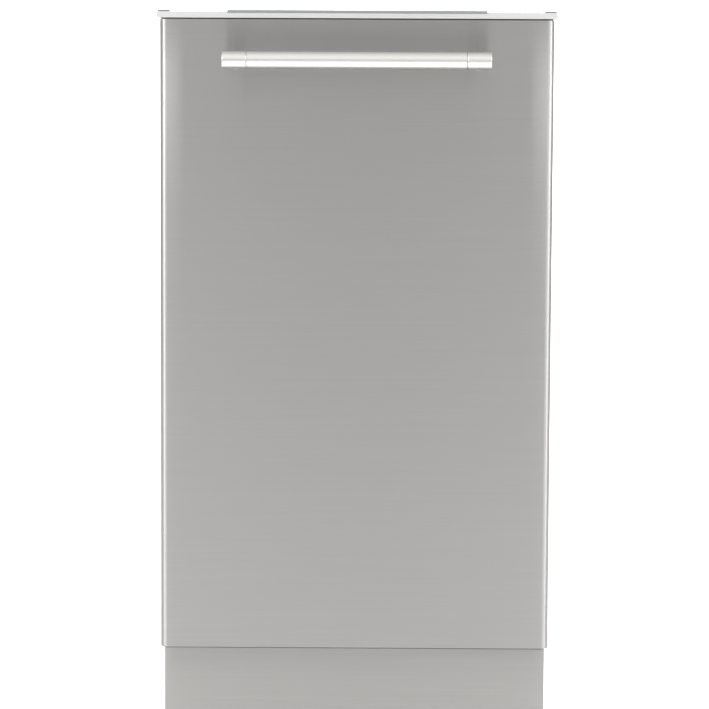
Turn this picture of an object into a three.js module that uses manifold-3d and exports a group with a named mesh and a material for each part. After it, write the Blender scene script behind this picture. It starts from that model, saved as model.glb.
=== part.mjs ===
// A built-in dishwasher, 45 cm class, as an assembly of separate pieces.
// Millimetres, +Z up, front towards -Y. The origin is on the floor, under the middle of the whole object.
// Inside the exported group y counts backwards from the front face of the door's steel panel.
import * as THREE from "three";
import { mergeVertices } from "three/addons/utils/BufferGeometryUtils.js";
import Module from "manifold-3d";

const wasm = await Module();
wasm.setup();

// ---------------------------------------------------------------- driving dimensions
const width = 448; // over the cap on the door's top edge
const height = 820; // floor to the top of the control strip
const bodyDepth = 573; // door's front face to the back of the base
const toeSpace = 100; // floor to the bottom edge of the door
const gap = 0.3; // between pieces that touch or run on each other
const sheet = 1.2; // door panel, liner and plinth steel
const frameSheet = 1.5; // tub and frame steel

// door
const capOverhang = 3.5; // the cap stands out past each side of the panel
const capHeight = 7;
const stripRise = 2; // control strip above the cap
const capShadow = 1.5; // open line between panel and cap
const panelFold = 22; // depth of the panel's folded sides
const panelRadius = 8; // round upright edges of the panel
const doorThickness = 50; // panel face to liner face
const linerFront = 24; // where the liner's folded sides begin
const linerDish = 8; // depth of the dished middle of the liner
const linerRim = 17; // flat rim round the dish
const pivotDepth = 42; // hinge axis behind the door's face
const pivotHeight = 15; // hinge axis above the door's bottom edge
const hingePin = 4; // radius of the pin in each side frame
const hingeEye = 12; // outer radius of the eye round it
const armHeight = 190; // hinge arm above its axis
const linerLap = 4; // liner's bottom edge below the hinge axis
const dishRadius = 20;
const stripLength = 290;
const stripDepth = 46;
const stripSetback = 0.6; // strip behind the cap's front edge
const stripSink = 1.2; // strip let into the cap
const consoleDrop = 42; // the console's body below the cap
const buttonSetback = 22; // outer buttons inside the strip's ends
const wellSpace = 0.5; // round a button in its well
const wellDepth = 3;

// handle
const barRadius = 10;
const handleLength = 297;
const handleReach = 50; // door face to the front of the bar
const handleDrop = 46; // bar axis below the panel's top edge
const handleEnd = 27; // length of each end sleeve
const legRadius = 8;

// tub
const sideSpace = 12; // cap edge to the tub's front flange
const flange = 10; // tub's front flange
const sealSpace = 4; // liner face to the flange
const backSpace = 26; // tub's back wall to the back of the base
const floorRise = 7; // tub floor above the hinge axis
const topSpace = 8; // top of the object to the top of the flange
const tabFront = 3; // front of the worktop tabs behind the door's face
const cornerRadius = 12;
const ledgeHeight = 5;
const ledgeWidth = 18;

// sump and water
const hubSetback = 246; // spray hub behind the tub's front flange
const hubRadius = 14;
const hubHeight = 22; // spray hub above the tub's floor
const armThickness = 10;
const sumpHalfWidth = 80;
const sumpAhead = 125; // sump edge ahead of the hub
const sumpBehind = 45;
const sumpDepth = 62;
const sumpWall = 2.5;
const sumpRadius = 20;
const filterAhead = 82; // filter axis ahead of the hub
const filterRadius = 34;
const ductHalfWidth = 14;
const ductDepth = 14;
const ductPin = 6; // radius of the ceiling sprayer's pin and of the docking port
const boreSpace = 0.6; // between a spray piece and its pin
const bossWall = 5;
const bladeRoot = 22; // half the width of a spray arm at its hub
const bladeTip = 13;

// racks
const wire = 4;
const rackSetback = 22; // racks behind the tub's front flange
const rackBackSpace = 21; // racks ahead of the tub's back wall
const wheelRadius = 18;
const wheelWidth = 8;
const wheelSpace = 18; // tub wall to the side of the lower rack
const axleRadius = 4;
const carrierHalf = 11; // half the length of a wheel carrier
const lowerRackRise = 38; // lower rack's base above the tub's floor
const lowerRackHeight = 125;
const upperRackRise = 328; // upper rack's base above the tub's floor
const upperRackHeight = 120;
const railSpace = 22; // tub wall to the side of the upper rack
const railHeight = 24;
const railSheet = 1.7;
const railDrop = 30; // top of the rail below the upper rack's rim
const railPlay = 0.6; // between one channel and the next
const runnerLength = 200;
const upperTines = { inset: 70, tall: 48 };
const lowerTines = { inset: 62, tall: 72 };
const basketWidth = 92;
const basketLength = 220;
const basketHeight = 112;
const basketWall = 2;
const basketGrip = 28; // handle above the basket

// base
const kickSetback = 62; // plinth behind the door's face
const kickTopGap = 3; // plinth below the door
const kickBottom = 4;
const kickFold = 17.7;
const baseBottom = 22;
const baseHeight = 86;
const baseWall = 3;
const footRadius = 20;
const footStem = 6;
const footInset = 27; // foot axis inside the base's side
const footBoss = 12;
const springHeight = 40; // radius of the hinge arm's sector, and the springs' height over the axis
const springRadius = 5;
const springWire = 1;
const springLength = 190;
const springTravel = 63; // how far the open door has pulled each spring
const hookLength = 8;
const cableReach = 28; // cable end of the slider behind the side frame's front

// ---------------------------------------------------------------- derived places
const panelHalf = width / 2 - capOverhang;
const doorBottom = toeSpace;
const capTop = height - stripRise;
const capBottom = capTop - capHeight;
const panelTop = capBottom - capShadow;
const pivot = { y: pivotDepth, z: doorBottom + pivotHeight };
const flangeHalf = width / 2 - sideSpace;
const tubHalf = flangeHalf - flange;
const tubFront = doorThickness + sealSpace;
const tubBack = bodyDepth - backSpace;
const tubFloor = pivot.z + floorRise;
const flangeTop = height - topSpace;
const tubCeiling = flangeTop - flange;
const hub = { y: tubFront + hubSetback, top: tubFloor + hubHeight };
const rackFront = tubFront + rackSetback;
const rackBack = tubBack - rackBackSpace;
const lowerHalf = tubHalf - wheelSpace;
const upperHalf = tubHalf - railSpace;
const lowerBase = tubFloor + lowerRackRise;
const lowerRim = lowerBase + lowerRackHeight;
const upperBase = tubFloor + upperRackRise;
const upperRim = upperBase + upperRackHeight;
const wheelAxle = tubFloor + ledgeHeight + gap + wheelRadius;
const handle = { y: barRadius - handleReach, z: panelTop - handleDrop };
const baseHalf = flangeHalf;
const baseFront = kickSetback + kickFold + gap;
const baseTop = baseBottom + baseHeight;
const frameInner = panelHalf - sheet - 2.1; // inner face of the side frames, clear of the panel's folds
const armPlate = { inner: flangeHalf + 1.2, outer: frameInner - 1 };
const frameFront = tubFront + frameSheet + 2.5;
const springAxis = { x: tubHalf + frameSheet + springRadius + 1.9, z: pivot.z + springHeight };
const hookY = frameFront + springTravel + cableReach; // keeps the slider behind the flange at full travel

// ---------------------------------------------------------------- materials
function finish(color, roughness, metalness) {
  return new THREE.MeshStandardMaterial({ color, roughness, metalness });
}


const brushedSteel = finish("#b3b1ae", 0.32, 1);
const tubSteel = finish("#b9bbbd", 0.25, 1);
const galvanised = finish("#9fa3a6", 0.45, 1);
const capPlastic = finish("#d9d9d8", 0.4, 0);
const darkPlastic = finish("#3a3b3d", 0.5, 0);
const stripPlastic = finish("#6f7071", 0.25, 0);
const greyPlastic = finish("#8f9396", 0.5, 0);
const whitePlastic = finish("#d5d8da", 0.45, 0);
const nylonWire = finish("#9ea4a9", 0.4, 0);
const rubber = finish("#37383a", 0.8, 0);
const springSteel = finish("#8b8d8f", 0.35, 1);

// ---------------------------------------------------------------- shapes
/** A closed geometry as a solid, its corners rounded to a micrometre so that faces meant to meet do. */
function solid(geometry) {
  const corners = geometry.getAttribute("position").array.map((value) => Math.round(value * 1000) / 1000);
  const bare = new THREE.BufferGeometry().setAttribute("position", new THREE.BufferAttribute(corners, 3));
  bare.setIndex(geometry.index);
  const merged = mergeVertices(bare, 1e-4);
  return new wasm.Manifold(
    new wasm.Mesh({
      numProp: 3,
      vertProperties: merged.getAttribute("position").array,
      triVerts: new Uint32Array(merged.index.array),
    }),
  );
}

/** A box from its ranges along x, y and z. */
function block([x0, x1], [y0, y1], [z0, z1]) {
  const box = new THREE.BoxGeometry(Math.abs(x1 - x0), Math.abs(y1 - y0), Math.abs(z1 - z0));
  return solid(box.translate((x0 + x1) / 2, (y0 + y1) / 2, (z0 + z1) / 2));
}

/** A flat outline pushed along an axis. The outline lies in (x, y) for z, (x, z) for y and (y, z) for x. */
function prism(outline, axis, from, to, curveSegments = 6) {
  const low = Math.min(from, to);
  const depth = Math.abs(to - from);
  const body = new THREE.ExtrudeGeometry(outline, { depth, bevelEnabled: false, curveSegments });
  if (axis === "z") body.translate(0, 0, low);
  if (axis === "x") body.rotateX(Math.PI / 2).rotateZ(Math.PI / 2).translate(low, 0, 0);
  if (axis === "y") body.rotateX(Math.PI / 2).translate(0, low + depth, 0);
  return solid(body);
}

function disc(u, v, radius) {
  const shape = new THREE.Shape();
  shape.absarc(u, v, radius, 0, 2 * Math.PI);
  return shape;
}

/** A round bar along an axis, centred on (u, v) in the plane across it. */
function rod(axis, [u, v], radius, from, to, segments = 20) {
  return prism(disc(u, v, radius), axis, from, to, segments);
}

function roundedRect([u0, u1], [v0, v1], radius) {
  const shape = new THREE.Shape();
  shape.moveTo(u0 + radius, v0);
  shape.lineTo(u1 - radius, v0);
  shape.absarc(u1 - radius, v0 + radius, radius, -Math.PI / 2, 0);
  shape.absarc(u1 - radius, v1 - radius, radius, 0, Math.PI / 2);
  shape.absarc(u0 + radius, v1 - radius, radius, Math.PI / 2, Math.PI);
  shape.absarc(u0 + radius, v0 + radius, radius, Math.PI, 1.5 * Math.PI);
  return shape;
}

function polygon(points) {
  return new THREE.Shape(points.map(([u, v]) => new THREE.Vector2(u, v)));
}

/** A turned piece on a vertical axis, from its outline of [radius, z] points listed upwards. */
function turned(points, x, y, segments = 20) {
  const profile = points.map(([r, z]) => new THREE.Vector2(r, z));
  const body = new THREE.LatheGeometry(profile, segments).rotateX(Math.PI / 2);
  return solid(body.translate(x, y, 0));
}

const join = (...pieces) => wasm.Manifold.union(pieces.flat());
const cut = (piece, ...tools) => piece.subtract(join(tools));
const mirrored = (ranges, side) => (side < 0 ? [-ranges[1], -ranges[0]] : ranges);

/** A named piece of the object. */
function node(name, shape, material) {
  const clean = shape.asOriginal().simplify(0.002);
  const { numProp, numVert, vertProperties, triVerts } = clean.getMesh();
  const positions = new Float32Array(numVert * 3);
  for (let i = 0; i < numVert; i++) {
    positions.set(vertProperties.subarray(i * numProp, i * numProp + 3), i * 3);
  }
  const geometry = new THREE.BufferGeometry();
  geometry.setAttribute("position", new THREE.BufferAttribute(positions, 3));
  geometry.setIndex(new THREE.BufferAttribute(triVerts, 1));
  geometry.computeVertexNormals();
  const mesh = new THREE.Mesh(geometry, material);
  mesh.name = name;
  return mesh;
}

/** Evenly spaced values, both ends included. */
function evenly(count, from, to) {
  return Array.from({ length: count }, (_, i) => from + ((to - from) * i) / (count - 1));
}

const sides = [
  { name: "left", side: -1 },
  { name: "right", side: 1 },
];

// ---------------------------------------------------------------- door
/** Plan outline of a pan that is open at its back, with round front corners. */
function panPlan(half, front, back, radius) {
  const shape = new THREE.Shape();
  shape.moveTo(-half, back);
  shape.lineTo(-half, front + radius);
  shape.absarc(-half + radius, front + radius, radius, Math.PI, 1.5 * Math.PI);
  shape.lineTo(half - radius, front);
  shape.absarc(half - radius, front + radius, radius, 1.5 * Math.PI, 2 * Math.PI);
  shape.lineTo(half, back);
  return shape;
}

function doorPanel() {
  const outer = prism(panPlan(panelHalf, 0, panelFold, panelRadius), "z", doorBottom, panelTop);
  const hollow = panPlan(panelHalf - sheet, sheet, panelFold + 1, panelRadius - sheet);
  return cut(outer, prism(hollow, "z", doorBottom + sheet, panelTop + 1));
}

function doorLiner() {
  const bottom = pivot.z - linerLap;
  const top = capBottom - gap;
  const dishX = flangeHalf - linerRim;
  const dishZ = [bottom + 2 * linerRim + 1, top - 2 * linerRim];
  const outer = block([-flangeHalf, flangeHalf], [linerFront, doorThickness], [bottom, top]);
  const dish = prism(
    roundedRect([-dishX, dishX], dishZ, dishRadius),
    "y",
    doorThickness - linerDish,
    doorThickness + 1,
    4,
  );
  const inside = block(
    [-flangeHalf + sheet, flangeHalf - sheet],
    [linerFront - 1, doorThickness - sheet],
    [bottom + sheet, top - sheet],
  );
  const dishBack = prism(
    roundedRect([-dishX - sheet, dishX + sheet], [dishZ[0] - sheet, dishZ[1] + sheet], dishRadius + sheet),
    "y",
    doorThickness - linerDish - sheet,
    doorThickness + 1,
    4,
  );
  const slotZ = [strike.z - 10, strike.z + strike.thickness + 4];
  const slot = block([-8, 8], [linerFront, doorThickness + 1], slotZ);
  const window = block(
    [dispenser.x - dispenser.half, dispenser.x + dispenser.half],
    [linerFront, doorThickness],
    [dispenser.z - dispenser.halfHeight, dispenser.z + dispenser.halfHeight],
  );
  return cut(outer, dish, inside.subtract(dishBack), slot, window);
}

const buttonNames = ["power_button", "program_button", "option_button", "start_button"];
const button = { half: 7, depth: 9, travel: 1.2, height: 3.4 };
const buttonY = stripSetback + stripDepth / 2;
const buttonX = (i) => [buttonSetback - stripLength / 2, -40, 0, stripLength / 2 - buttonSetback][i];

function buttonBlock(i, clearance, bottom, top) {
  const x = buttonX(i);
  const half = button.half + clearance;
  const halfDepth = button.depth / 2 + clearance;
  return prism(
    roundedRect([x - half, x + half], [buttonY - halfDepth, buttonY + halfDepth], 2 + clearance),
    "z",
    bottom,
    top,
    3,
  );
}

function controlConsole() {
  const cap = prism(roundedRect([-width / 2, width / 2], [capBottom, capTop], 2.5), "y", 0, doorThickness, 3);
  const inset = sheet + gap;
  const bodyPlan = panPlan(panelHalf - inset, inset, panelFold, panelRadius - inset);
  const body = prism(bodyPlan, "z", capBottom - consoleDrop, capBottom + 1);
  const wells = buttonNames.map((_, i) => buttonBlock(i, wellSpace, capTop - wellDepth, capTop + 1));
  const half = stripLength / 2 + gap;
  const back = stripSetback + stripDepth + gap;
  const recess = block([-half, half], [-1, back], [capTop - stripSink - gap, capTop + 1]);
  return cut(join(cap, body), recess, ...wells);
}

function controlStrip() {
  const plate = block(
    [-stripLength / 2, stripLength / 2],
    [stripSetback, stripSetback + stripDepth],
    [capTop - stripSink, height],
  );
  const holes = buttonNames.map((_, i) => buttonBlock(i, wellSpace, capTop - wellDepth, height + 1));
  return cut(plate, ...holes);
}

function controlButton(i) {
  return buttonBlock(i, 0, height - button.height, height);
}

function handleBar() {
  const half = handleLength / 2 - handleEnd - gap / 2;
  return rod("x", [handle.y, handle.z], barRadius, -half, half, 24);
}

function handlePost(side) {
  const inner = side * (handleLength / 2 - handleEnd + gap / 2);
  const sleeve = rod("x", [handle.y, handle.z], barRadius, inner, (side * handleLength) / 2, 24);
  const leg = rod("y", [side * (handleLength / 2 - handleEnd / 2), handle.z], legRadius, handle.y, 0);
  return join(sleeve, leg);
}

/** A hinge arm: a plate up the inside of the door, an eye on the pin, and a sector for the balance spring. */
function hingeArm(side) {
  const plate = new THREE.Shape();
  plate.moveTo(pivot.y, pivot.z - hingeEye);
  plate.absarc(pivot.y, pivot.z, hingeEye, -Math.PI / 2, 0);
  plate.lineTo(pivot.y + springHeight, pivot.z);
  plate.absarc(pivot.y, pivot.z, springHeight, 0, 0.62 * Math.PI);
  plate.lineTo(pivot.y - 4, pivot.z + armHeight);
  plate.lineTo(linerFront + 1, pivot.z + armHeight);
  plate.lineTo(linerFront + 1, pivot.z);
  plate.absarc(pivot.y, pivot.z, hingeEye, -Math.PI, -Math.PI / 2);
  const range = mirrored([armPlate.inner, armPlate.outer], side);
  const eye = rod("x", [pivot.y, pivot.z], hingePin + gap, range[0] - 1, range[1] + 1);
  return cut(prism(plate, "x", range[0], range[1], 8), eye);
}

const dispenser = {
  x: 0,
  z: panelTop - 270,
  half: 75,
  halfHeight: 65,
  lip: 6,
  lidX: -38,
  lidZ: 22,
  lidTravel: 62,
  capX: 42,
  capZ: -38,
};

function dispenserBody() {
  const { x, z, half, halfHeight, lip, lidX, lidZ } = dispenser;
  const face = doorThickness - linerDish + gap;
  const housing = block(
    [x - half + gap, x + half - gap],
    [panelFold + 3, face],
    [z - halfHeight + gap, z + halfHeight - gap],
  );
  const flangePlate = prism(
    roundedRect([x - half - lip, x + half + lip], [z - halfHeight - lip, z + halfHeight + lip], 8),
    "y",
    face,
    face + 2,
    4,
  );
  const [cupX, cupZ] = [x + lidX, z + lidZ];
  const cup = block([cupX - 28, cupX + 28], [panelFold + 6, face + 3], [cupZ - 26, cupZ + 26]);
  return cut(join(housing, flangePlate), cup);
}

function dispenserLid() {
  const { x, z, lidX, lidZ } = dispenser;
  const face = doorThickness - linerDish + gap + 2 + gap;
  const plate = prism(
    roundedRect([x + lidX - 32, x + lidX + 32], [z + lidZ - 30, z + lidZ + 30], 5),
    "y",
    face,
    face + 3,
    3,
  );
  const grip = block([x + lidX - 4, x + lidX + 4], [face + 2, face + 5], [z + lidZ - 20, z + lidZ + 20]);
  return join(plate, grip);
}

function rinseAidCap() {
  const face = doorThickness - linerDish + gap + 2 + gap;
  const centre = [dispenser.x + dispenser.capX, dispenser.z + dispenser.capZ];
  const disk = rod("y", centre, 16, face, face + 3);
  const [x, z] = centre;
  const grip = block([x - 2.5, x + 2.5], [face + 2, face + 5], [z - 13, z + 13]);
  return join(disk, grip);
}

const strike = { z: tubCeiling - 6, thickness: 3, tip: linerFront + 10 };
const pawlPivot = { y: strike.tip - 7, z: strike.z - 13 };

function latchStrike() {
  const tongue = block([-5, 5], [strike.tip, tubFront + 30], [strike.z, strike.z + strike.thickness]);
  const hook = block([-5, 5], [strike.tip, strike.tip + 3], [strike.z - 5, strike.z + 1]);
  const foot = block([-16, 16], [tubFront + 4, tubFront + 30], [strike.z + 1, tubCeiling - gap]);
  return join(tongue, hook, foot);
}

/** The sprung lever of the catch: its nose rides just under the strike's hook. */
function latchPawl() {
  const top = strike.z - 5 - gap;
  const nose = polygon([
    [pawlPivot.y - 2, pawlPivot.z - 2.5],
    [strike.tip + 4, pawlPivot.z - 1],
    [strike.tip + 7, pawlPivot.z + 2],
    [strike.tip + 7, top],
    [strike.tip + 3.6, top],
    [strike.tip + 2, pawlPivot.z + 3.5],
    [pawlPivot.y, pawlPivot.z + 2.5],
    [pawlPivot.y - 2.1, pawlPivot.z + 0.5],
  ]);
  return prism(nose, "x", -4, 4);
}

// ---------------------------------------------------------------- tub
function tub() {
  const wall = frameSheet;
  const outline = (grow) =>
    roundedRect([-tubHalf - grow, tubHalf + grow], [tubFloor - grow, tubCeiling + grow], cornerRadius + grow);
  const shell = prism(outline(wall), "y", tubFront, tubBack + wall, 4);
  const rim = prism(
    roundedRect([-flangeHalf, flangeHalf], [tubFloor - flange, flangeTop], 6),
    "y",
    tubFront,
    tubFront + wall,
    2,
  );
  const hollow = prism(outline(0), "y", tubFront - 1, tubBack, 4);
  const ledges = sides.map(({ side }) =>
    block(
      mirrored([tubHalf - ledgeWidth, tubHalf + wall / 2], side),
      [tubFront, tubBack + wall / 2],
      [tubFloor - wall / 2, tubFloor + ledgeHeight],
    ),
  );
  const drain = prism(
    roundedRect([-sumpHalfWidth, sumpHalfWidth], [hub.y - sumpAhead, hub.y + sumpBehind], sumpRadius),
    "z",
    tubFloor - 5,
    tubFloor + 5,
    3,
  );
  return cut(join(cut(join(shell, rim), hollow), ledges), drain);
}

/** The door seal, an inverted U on the tub's front flange. */
function tubGasket() {
  const outer = flangeHalf - 1;
  const inner = tubHalf + 1;
  const foot = pivot.z + 20;
  const channel = polygon([
    [-outer, foot],
    [-inner, foot],
    [-inner, tubCeiling + 1],
    [inner, tubCeiling + 1],
    [inner, foot],
    [outer, foot],
    [outer, flangeTop - 1],
    [-outer, flangeTop - 1],
  ]);
  return prism(channel, "y", doorThickness + gap, tubFront);
}

function sump() {
  const top = tubFloor - frameSheet - gap;
  const bottom = tubFloor - sumpDepth;
  const plan = (grow) =>
    roundedRect(
      [-sumpHalfWidth - grow, sumpHalfWidth + grow],
      [hub.y - sumpAhead - grow, hub.y + sumpBehind + grow],
      sumpRadius + grow,
    );
  const lip = prism(plan(8), "z", top - sumpWall, top, 3);
  const bowl = prism(plan(0), "z", bottom, top, 3);
  const hollow = prism(plan(-sumpWall), "z", bottom + sumpWall, top + 1, 3);
  const column = rod("z", [0, hub.y], hubRadius, bottom + 1, hub.top);
  return join(cut(join(lip, bowl), hollow), column);
}

function coarseFilter() {
  const rest = tubFloor - frameSheet;
  const plate = prism(
    roundedRect(
      [-sumpHalfWidth + gap, sumpHalfWidth - gap],
      [hub.y - sumpAhead + gap, hub.y + sumpBehind - gap],
      sumpRadius - gap,
    ),
    "z",
    rest,
    rest + 2,
    3,
  );
  const hubHole = rod("z", [0, hub.y], hubRadius + 1.5, rest - 1, rest + 3);
  const filterHole = rod("z", [0, hub.y - filterAhead], filterRadius + 1, rest - 1, rest + 3);
  return cut(plate, hubHole, filterHole);
}

function filterCylinder() {
  const top = tubFloor + 3;
  const cup = turned(
    [
      [0, tubFloor - sumpDepth + sumpWall + 2],
      [filterRadius - 3, tubFloor - sumpDepth + sumpWall + 2],
      [filterRadius, top - 6],
      [filterRadius, top],
      [filterRadius - 4, top],
      [filterRadius - 6, top - 7],
      [0, top - 7],
    ],
    0,
    hub.y - filterAhead,
  );
  const grip = block([-24, 24], [hub.y - filterAhead - 2.5, hub.y - filterAhead + 2.5], [top - 8, top + 6]);
  return join(cup, grip);
}

function armPlan(reach, root, tip) {
  const shape = new THREE.Shape();
  shape.moveTo(root * 0.3, -root);
  shape.lineTo(reach - tip, -tip * 1.15);
  shape.absarc(reach - tip, 0, tip, -Math.PI / 2, Math.PI / 2);
  shape.lineTo(root * 0.3, root * 0.8);
  shape.lineTo(-root * 0.3, root);
  shape.lineTo(-reach + tip, tip * 1.15);
  shape.absarc(-reach + tip, 0, tip, Math.PI / 2, 1.5 * Math.PI);
  shape.lineTo(-root * 0.3, -root * 0.8);
  return shape;
}

/** A spray arm whose boss turns on a pin: below it (pinUp) or above it. */
function sprayArm(centreY, bottom, reach, pinRadius, pinEnd, pinUp) {
  const blade = prism(armPlan(reach, bladeRoot, bladeTip), "z", 0, armThickness, 5);
  const arm = blade.translate([0, centreY, bottom]);
  const bossLow = pinUp ? bottom - 4 : bottom;
  const bossHigh = pinUp ? bottom + armThickness + 2 : bottom + armThickness + 3;
  const boss = rod("z", [0, centreY], pinRadius + bossWall, bossLow, bossHigh);
  const bore = pinUp
    ? rod("z", [0, centreY], pinRadius + boreSpace, bossLow - 1, pinEnd + 0.5)
    : rod("z", [0, centreY], pinRadius + boreSpace, pinEnd - 0.5, bossHigh + 1);
  return cut(join(arm, boss), bore);
}

const lowerArmReach = Math.min(lowerHalf - 8, hubSetback - 30, tubBack - hub.y - 20);
const upperArmReach = Math.min(upperHalf - 8, hubSetback - 30, rackBack - hub.y - 20);

const manifold = { top: upperBase - gap, thickness: 12, pinRadius: 8, pinLength: 14 };
const manifoldBottom = manifold.top - manifold.thickness;
const dock = { y: tubBack - ductDepth - 1 - 8 };

/** The rear duct that feeds the docking port and the ceiling sprayer. */
function waterDuct() {
  const half = ductHalfWidth;
  const back = tubBack - 1;
  const floorRun = block([-half, half], [hub.y + sumpBehind + 2, back], [tubFloor + gap, tubFloor + 8]);
  const riser = block([-half, half], [back - ductDepth, back], [tubFloor + gap, tubCeiling - 1]);
  const ceilingRun = block([-half, half], [hub.y - half, back], [tubCeiling - 1 - ductDepth, tubCeiling - 1]);
  const port = rod("y", [0, (manifold.top + manifoldBottom) / 2], ductPin, dock.y, back - 1);
  const pin = rod("z", [0, hub.y], ductPin, tubCeiling - 28, tubCeiling - 5);
  return join(floorRun, riser, ceilingRun, port, pin);
}

function topSprayer() {
  const top = tubCeiling - 18;
  const disk = turned(
    [
      [0, top - 14],
      [12, top - 14],
      [40, top - 7],
      [40, top - 3],
      [12, top],
      [0, top],
    ],
    0,
    hub.y,
  );
  return cut(disk, rod("z", [0, hub.y], ductPin + boreSpace, tubCeiling - 28.5, top + 1));
}

const floatPlace = { x: lowerHalf - 30, y: tubFront + 55 };

function floatCap() {
  const foot = tubFloor + gap;
  return turned(
    [
      [0, foot],
      [16, foot],
      [16, foot + 18],
      [10, foot + 23],
      [0, foot + 24],
    ],
    floatPlace.x,
    floatPlace.y,
    16,
  );
}

// ---------------------------------------------------------------- racks
/** A flat grille of square wires: the wires' places along u and v, in the plane across an axis. */
function grille(axis, [from, to], us, vs) {
  const span = (list) => [Math.min(...list) - wire / 2, Math.max(...list) + wire / 2];
  const make = (uRange, vRange) => {
    if (axis === "z") return block(uRange, vRange, [from, to]);
    if (axis === "y") return block(uRange, [from, to], vRange);
    return block([from, to], uRange, vRange);
  };
  return [
    ...us.map((u) => make([u - wire / 2, u + wire / 2], span(vs))),
    ...vs.map((v) => make(span(us), [v - wire / 2, v + wire / 2])),
  ];
}

/** Where the wires of a rack stand: `across` of them side by side and `along` of them front to back. */
function wirePlaces(half, across, along) {
  return {
    xs: evenly(across, wire / 2 - half, half - wire / 2),
    ys: evenly(along, rackFront + wire / 2, rackBack - wire / 2),
  };
}

/** The flat floor of a rack. */
function rackFloor({ xs, ys }, base) {
  return grille("z", [base, base + wire], xs, ys);
}

/** The four sides of a rack, with level hoops from its base to its rim. */
function rackSides(half, { xs, ys }, base, rim, hoops) {
  const zs = evenly(hoops, base + wire / 2, rim - wire / 2);
  return [
    ...[rackFront, rackBack - wire].flatMap((y) => grille("y", [y, y + wire], xs, zs)),
    ...[-half, half - wire].flatMap((x) => grille("x", [x, x + wire], ys, zs)),
  ];
}

const tine = (x, y, bottom, tall) =>
  block([x - wire / 2, x + wire / 2], [y - wire / 2, y + wire / 2], [bottom, bottom + tall]);

const wheelPlaces = [
  { name: "front", y: rackFront + 88 },
  { name: "rear", y: rackBack - 70 },
];
const wheelInner = lowerHalf + 5;
const tineYs = evenly(8, rackFront + 60, rackBack - 60);
const fixedTineX = lowerTines.inset - lowerHalf;
const foldTine = { x: -26, z: lowerBase + wire + 3, tall: 62 };

const lowerWires = wirePlaces(lowerHalf, 6, 7);

/** The sides of the lower rack, with the carriers and axles of its wheels. */
function lowerRack() {
  const bottom = lowerBase + wire + gap;
  const carriers = sides.flatMap(({ side }) =>
    wheelPlaces.flatMap(({ y }) => {
      const along = [y - carrierHalf, y + carrierHalf];
      const carrierX = mirrored([lowerHalf + gap, lowerHalf + 3.5], side);
      const axleX = [side * (lowerHalf + 1), side * (wheelInner + wheelWidth - 1)];
      return [
        block(carrierX, along, [wheelAxle - 8, bottom + 10]),
        block(mirrored([lowerHalf - 1, lowerHalf + 1], side), along, [bottom, bottom + 10]),
        rod("x", [y, wheelAxle], axleRadius, ...axleX, 12),
      ];
    }),
  );
  return join(rackSides(lowerHalf, lowerWires, bottom, lowerRim, 3), carriers);
}

/** The floor of the lower rack, with its fixed row of tines. */
function lowerRackFloor() {
  const x = fixedTineX;
  const railX = [x - wire / 2, x + wire / 2];
  const tineRail = block(railX, [rackFront + 1, rackBack - 1], [lowerBase, lowerBase + wire]);
  const tines = tineYs.map((y) => tine(x, y, lowerBase + 1, lowerTines.tall));
  return join(rackFloor(lowerWires, lowerBase), tineRail, tines);
}

function rackWheel(side, y) {
  const ends = [side * wheelInner, side * (wheelInner + wheelWidth)];
  const tyre = rod("x", [y, wheelAxle], wheelRadius, ends[0], ends[1], 20);
  return cut(tyre, rod("x", [y, wheelAxle], axleRadius + gap, ends[0] - side, ends[1] + side, 12));
}

function foldingTines() {
  const rail = block(
    [foldTine.x - wire / 2, foldTine.x + wire / 2],
    [tineYs[0] - 8, tineYs.at(-1) + 8],
    [foldTine.z - wire / 2, foldTine.z + wire / 2],
  );
  return join(
    rail,
    tineYs.map((y) => tine(foldTine.x, y, foldTine.z, foldTine.tall)),
  );
}

const basket = {
  x: [lowerHalf - wire - 3 - basketWidth, lowerHalf - wire - 3],
  y: [rackFront + 16, rackFront + 16 + basketLength],
  bottom: lowerBase + wire + gap,
};

function cutleryBasket() {
  const [x0, x1] = basket.x;
  const [y0, y1] = basket.y;
  const wall = basketWall;
  const top = basket.bottom + basketHeight;
  const middle = (x0 + x1) / 2;
  const shell = cut(
    block([x0, x1], [y0, y1], [basket.bottom, top]),
    block([x0 + wall, middle - wall / 2], [y0 + wall, y1 - wall], [basket.bottom + wall, top + 1]),
    block([middle + wall / 2, x1 - wall], [y0 + wall, y1 - wall], [basket.bottom + wall, top + 1]),
  );
  const centre = (y0 + y1) / 2;
  const grip = cut(
    prism(
      roundedRect([centre - 45, centre + 45], [top - 10, top + basketGrip], 10),
      "x",
      middle - 2.5,
      middle + 2.5,
      3,
    ),
    prism(
      roundedRect([centre - 36, centre + 36], [top, top + basketGrip - 8], 8),
      "x",
      middle - 4,
      middle + 4,
      3,
    ),
  );
  return join(shell, grip);
}

const railTop = upperRim - railDrop;
const railSpan = [rackFront - 6, rackBack];
const outerRail = {
  x: [upperHalf + 9, tubHalf - gap],
  z: [railTop - railHeight, railTop],
};
const innerRail = {
  x: [outerRail.x[0] - 2, outerRail.x[1] - railSheet - railPlay],
  z: [outerRail.z[0] + railSheet + railPlay, outerRail.z[1] - railSheet - railPlay],
};
const runner = {
  x: [upperHalf - 1, innerRail.x[1] - railSheet - railPlay],
  z: [innerRail.z[0] + railSheet + railPlay, innerRail.z[1] - railSheet - railPlay],
};

/** A channel with its back to the tub's wall, open towards the racks. */
function rail(section, side) {
  const outer = block(mirrored(section.x, side), railSpan, section.z);
  const hollow = block(
    mirrored([section.x[0] - 1, section.x[1] - railSheet], side),
    [railSpan[0] - 1, railSpan[1] + 1],
    [section.z[0] + railSheet, section.z[1] - railSheet],
  );
  return cut(outer, hollow);
}

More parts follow.
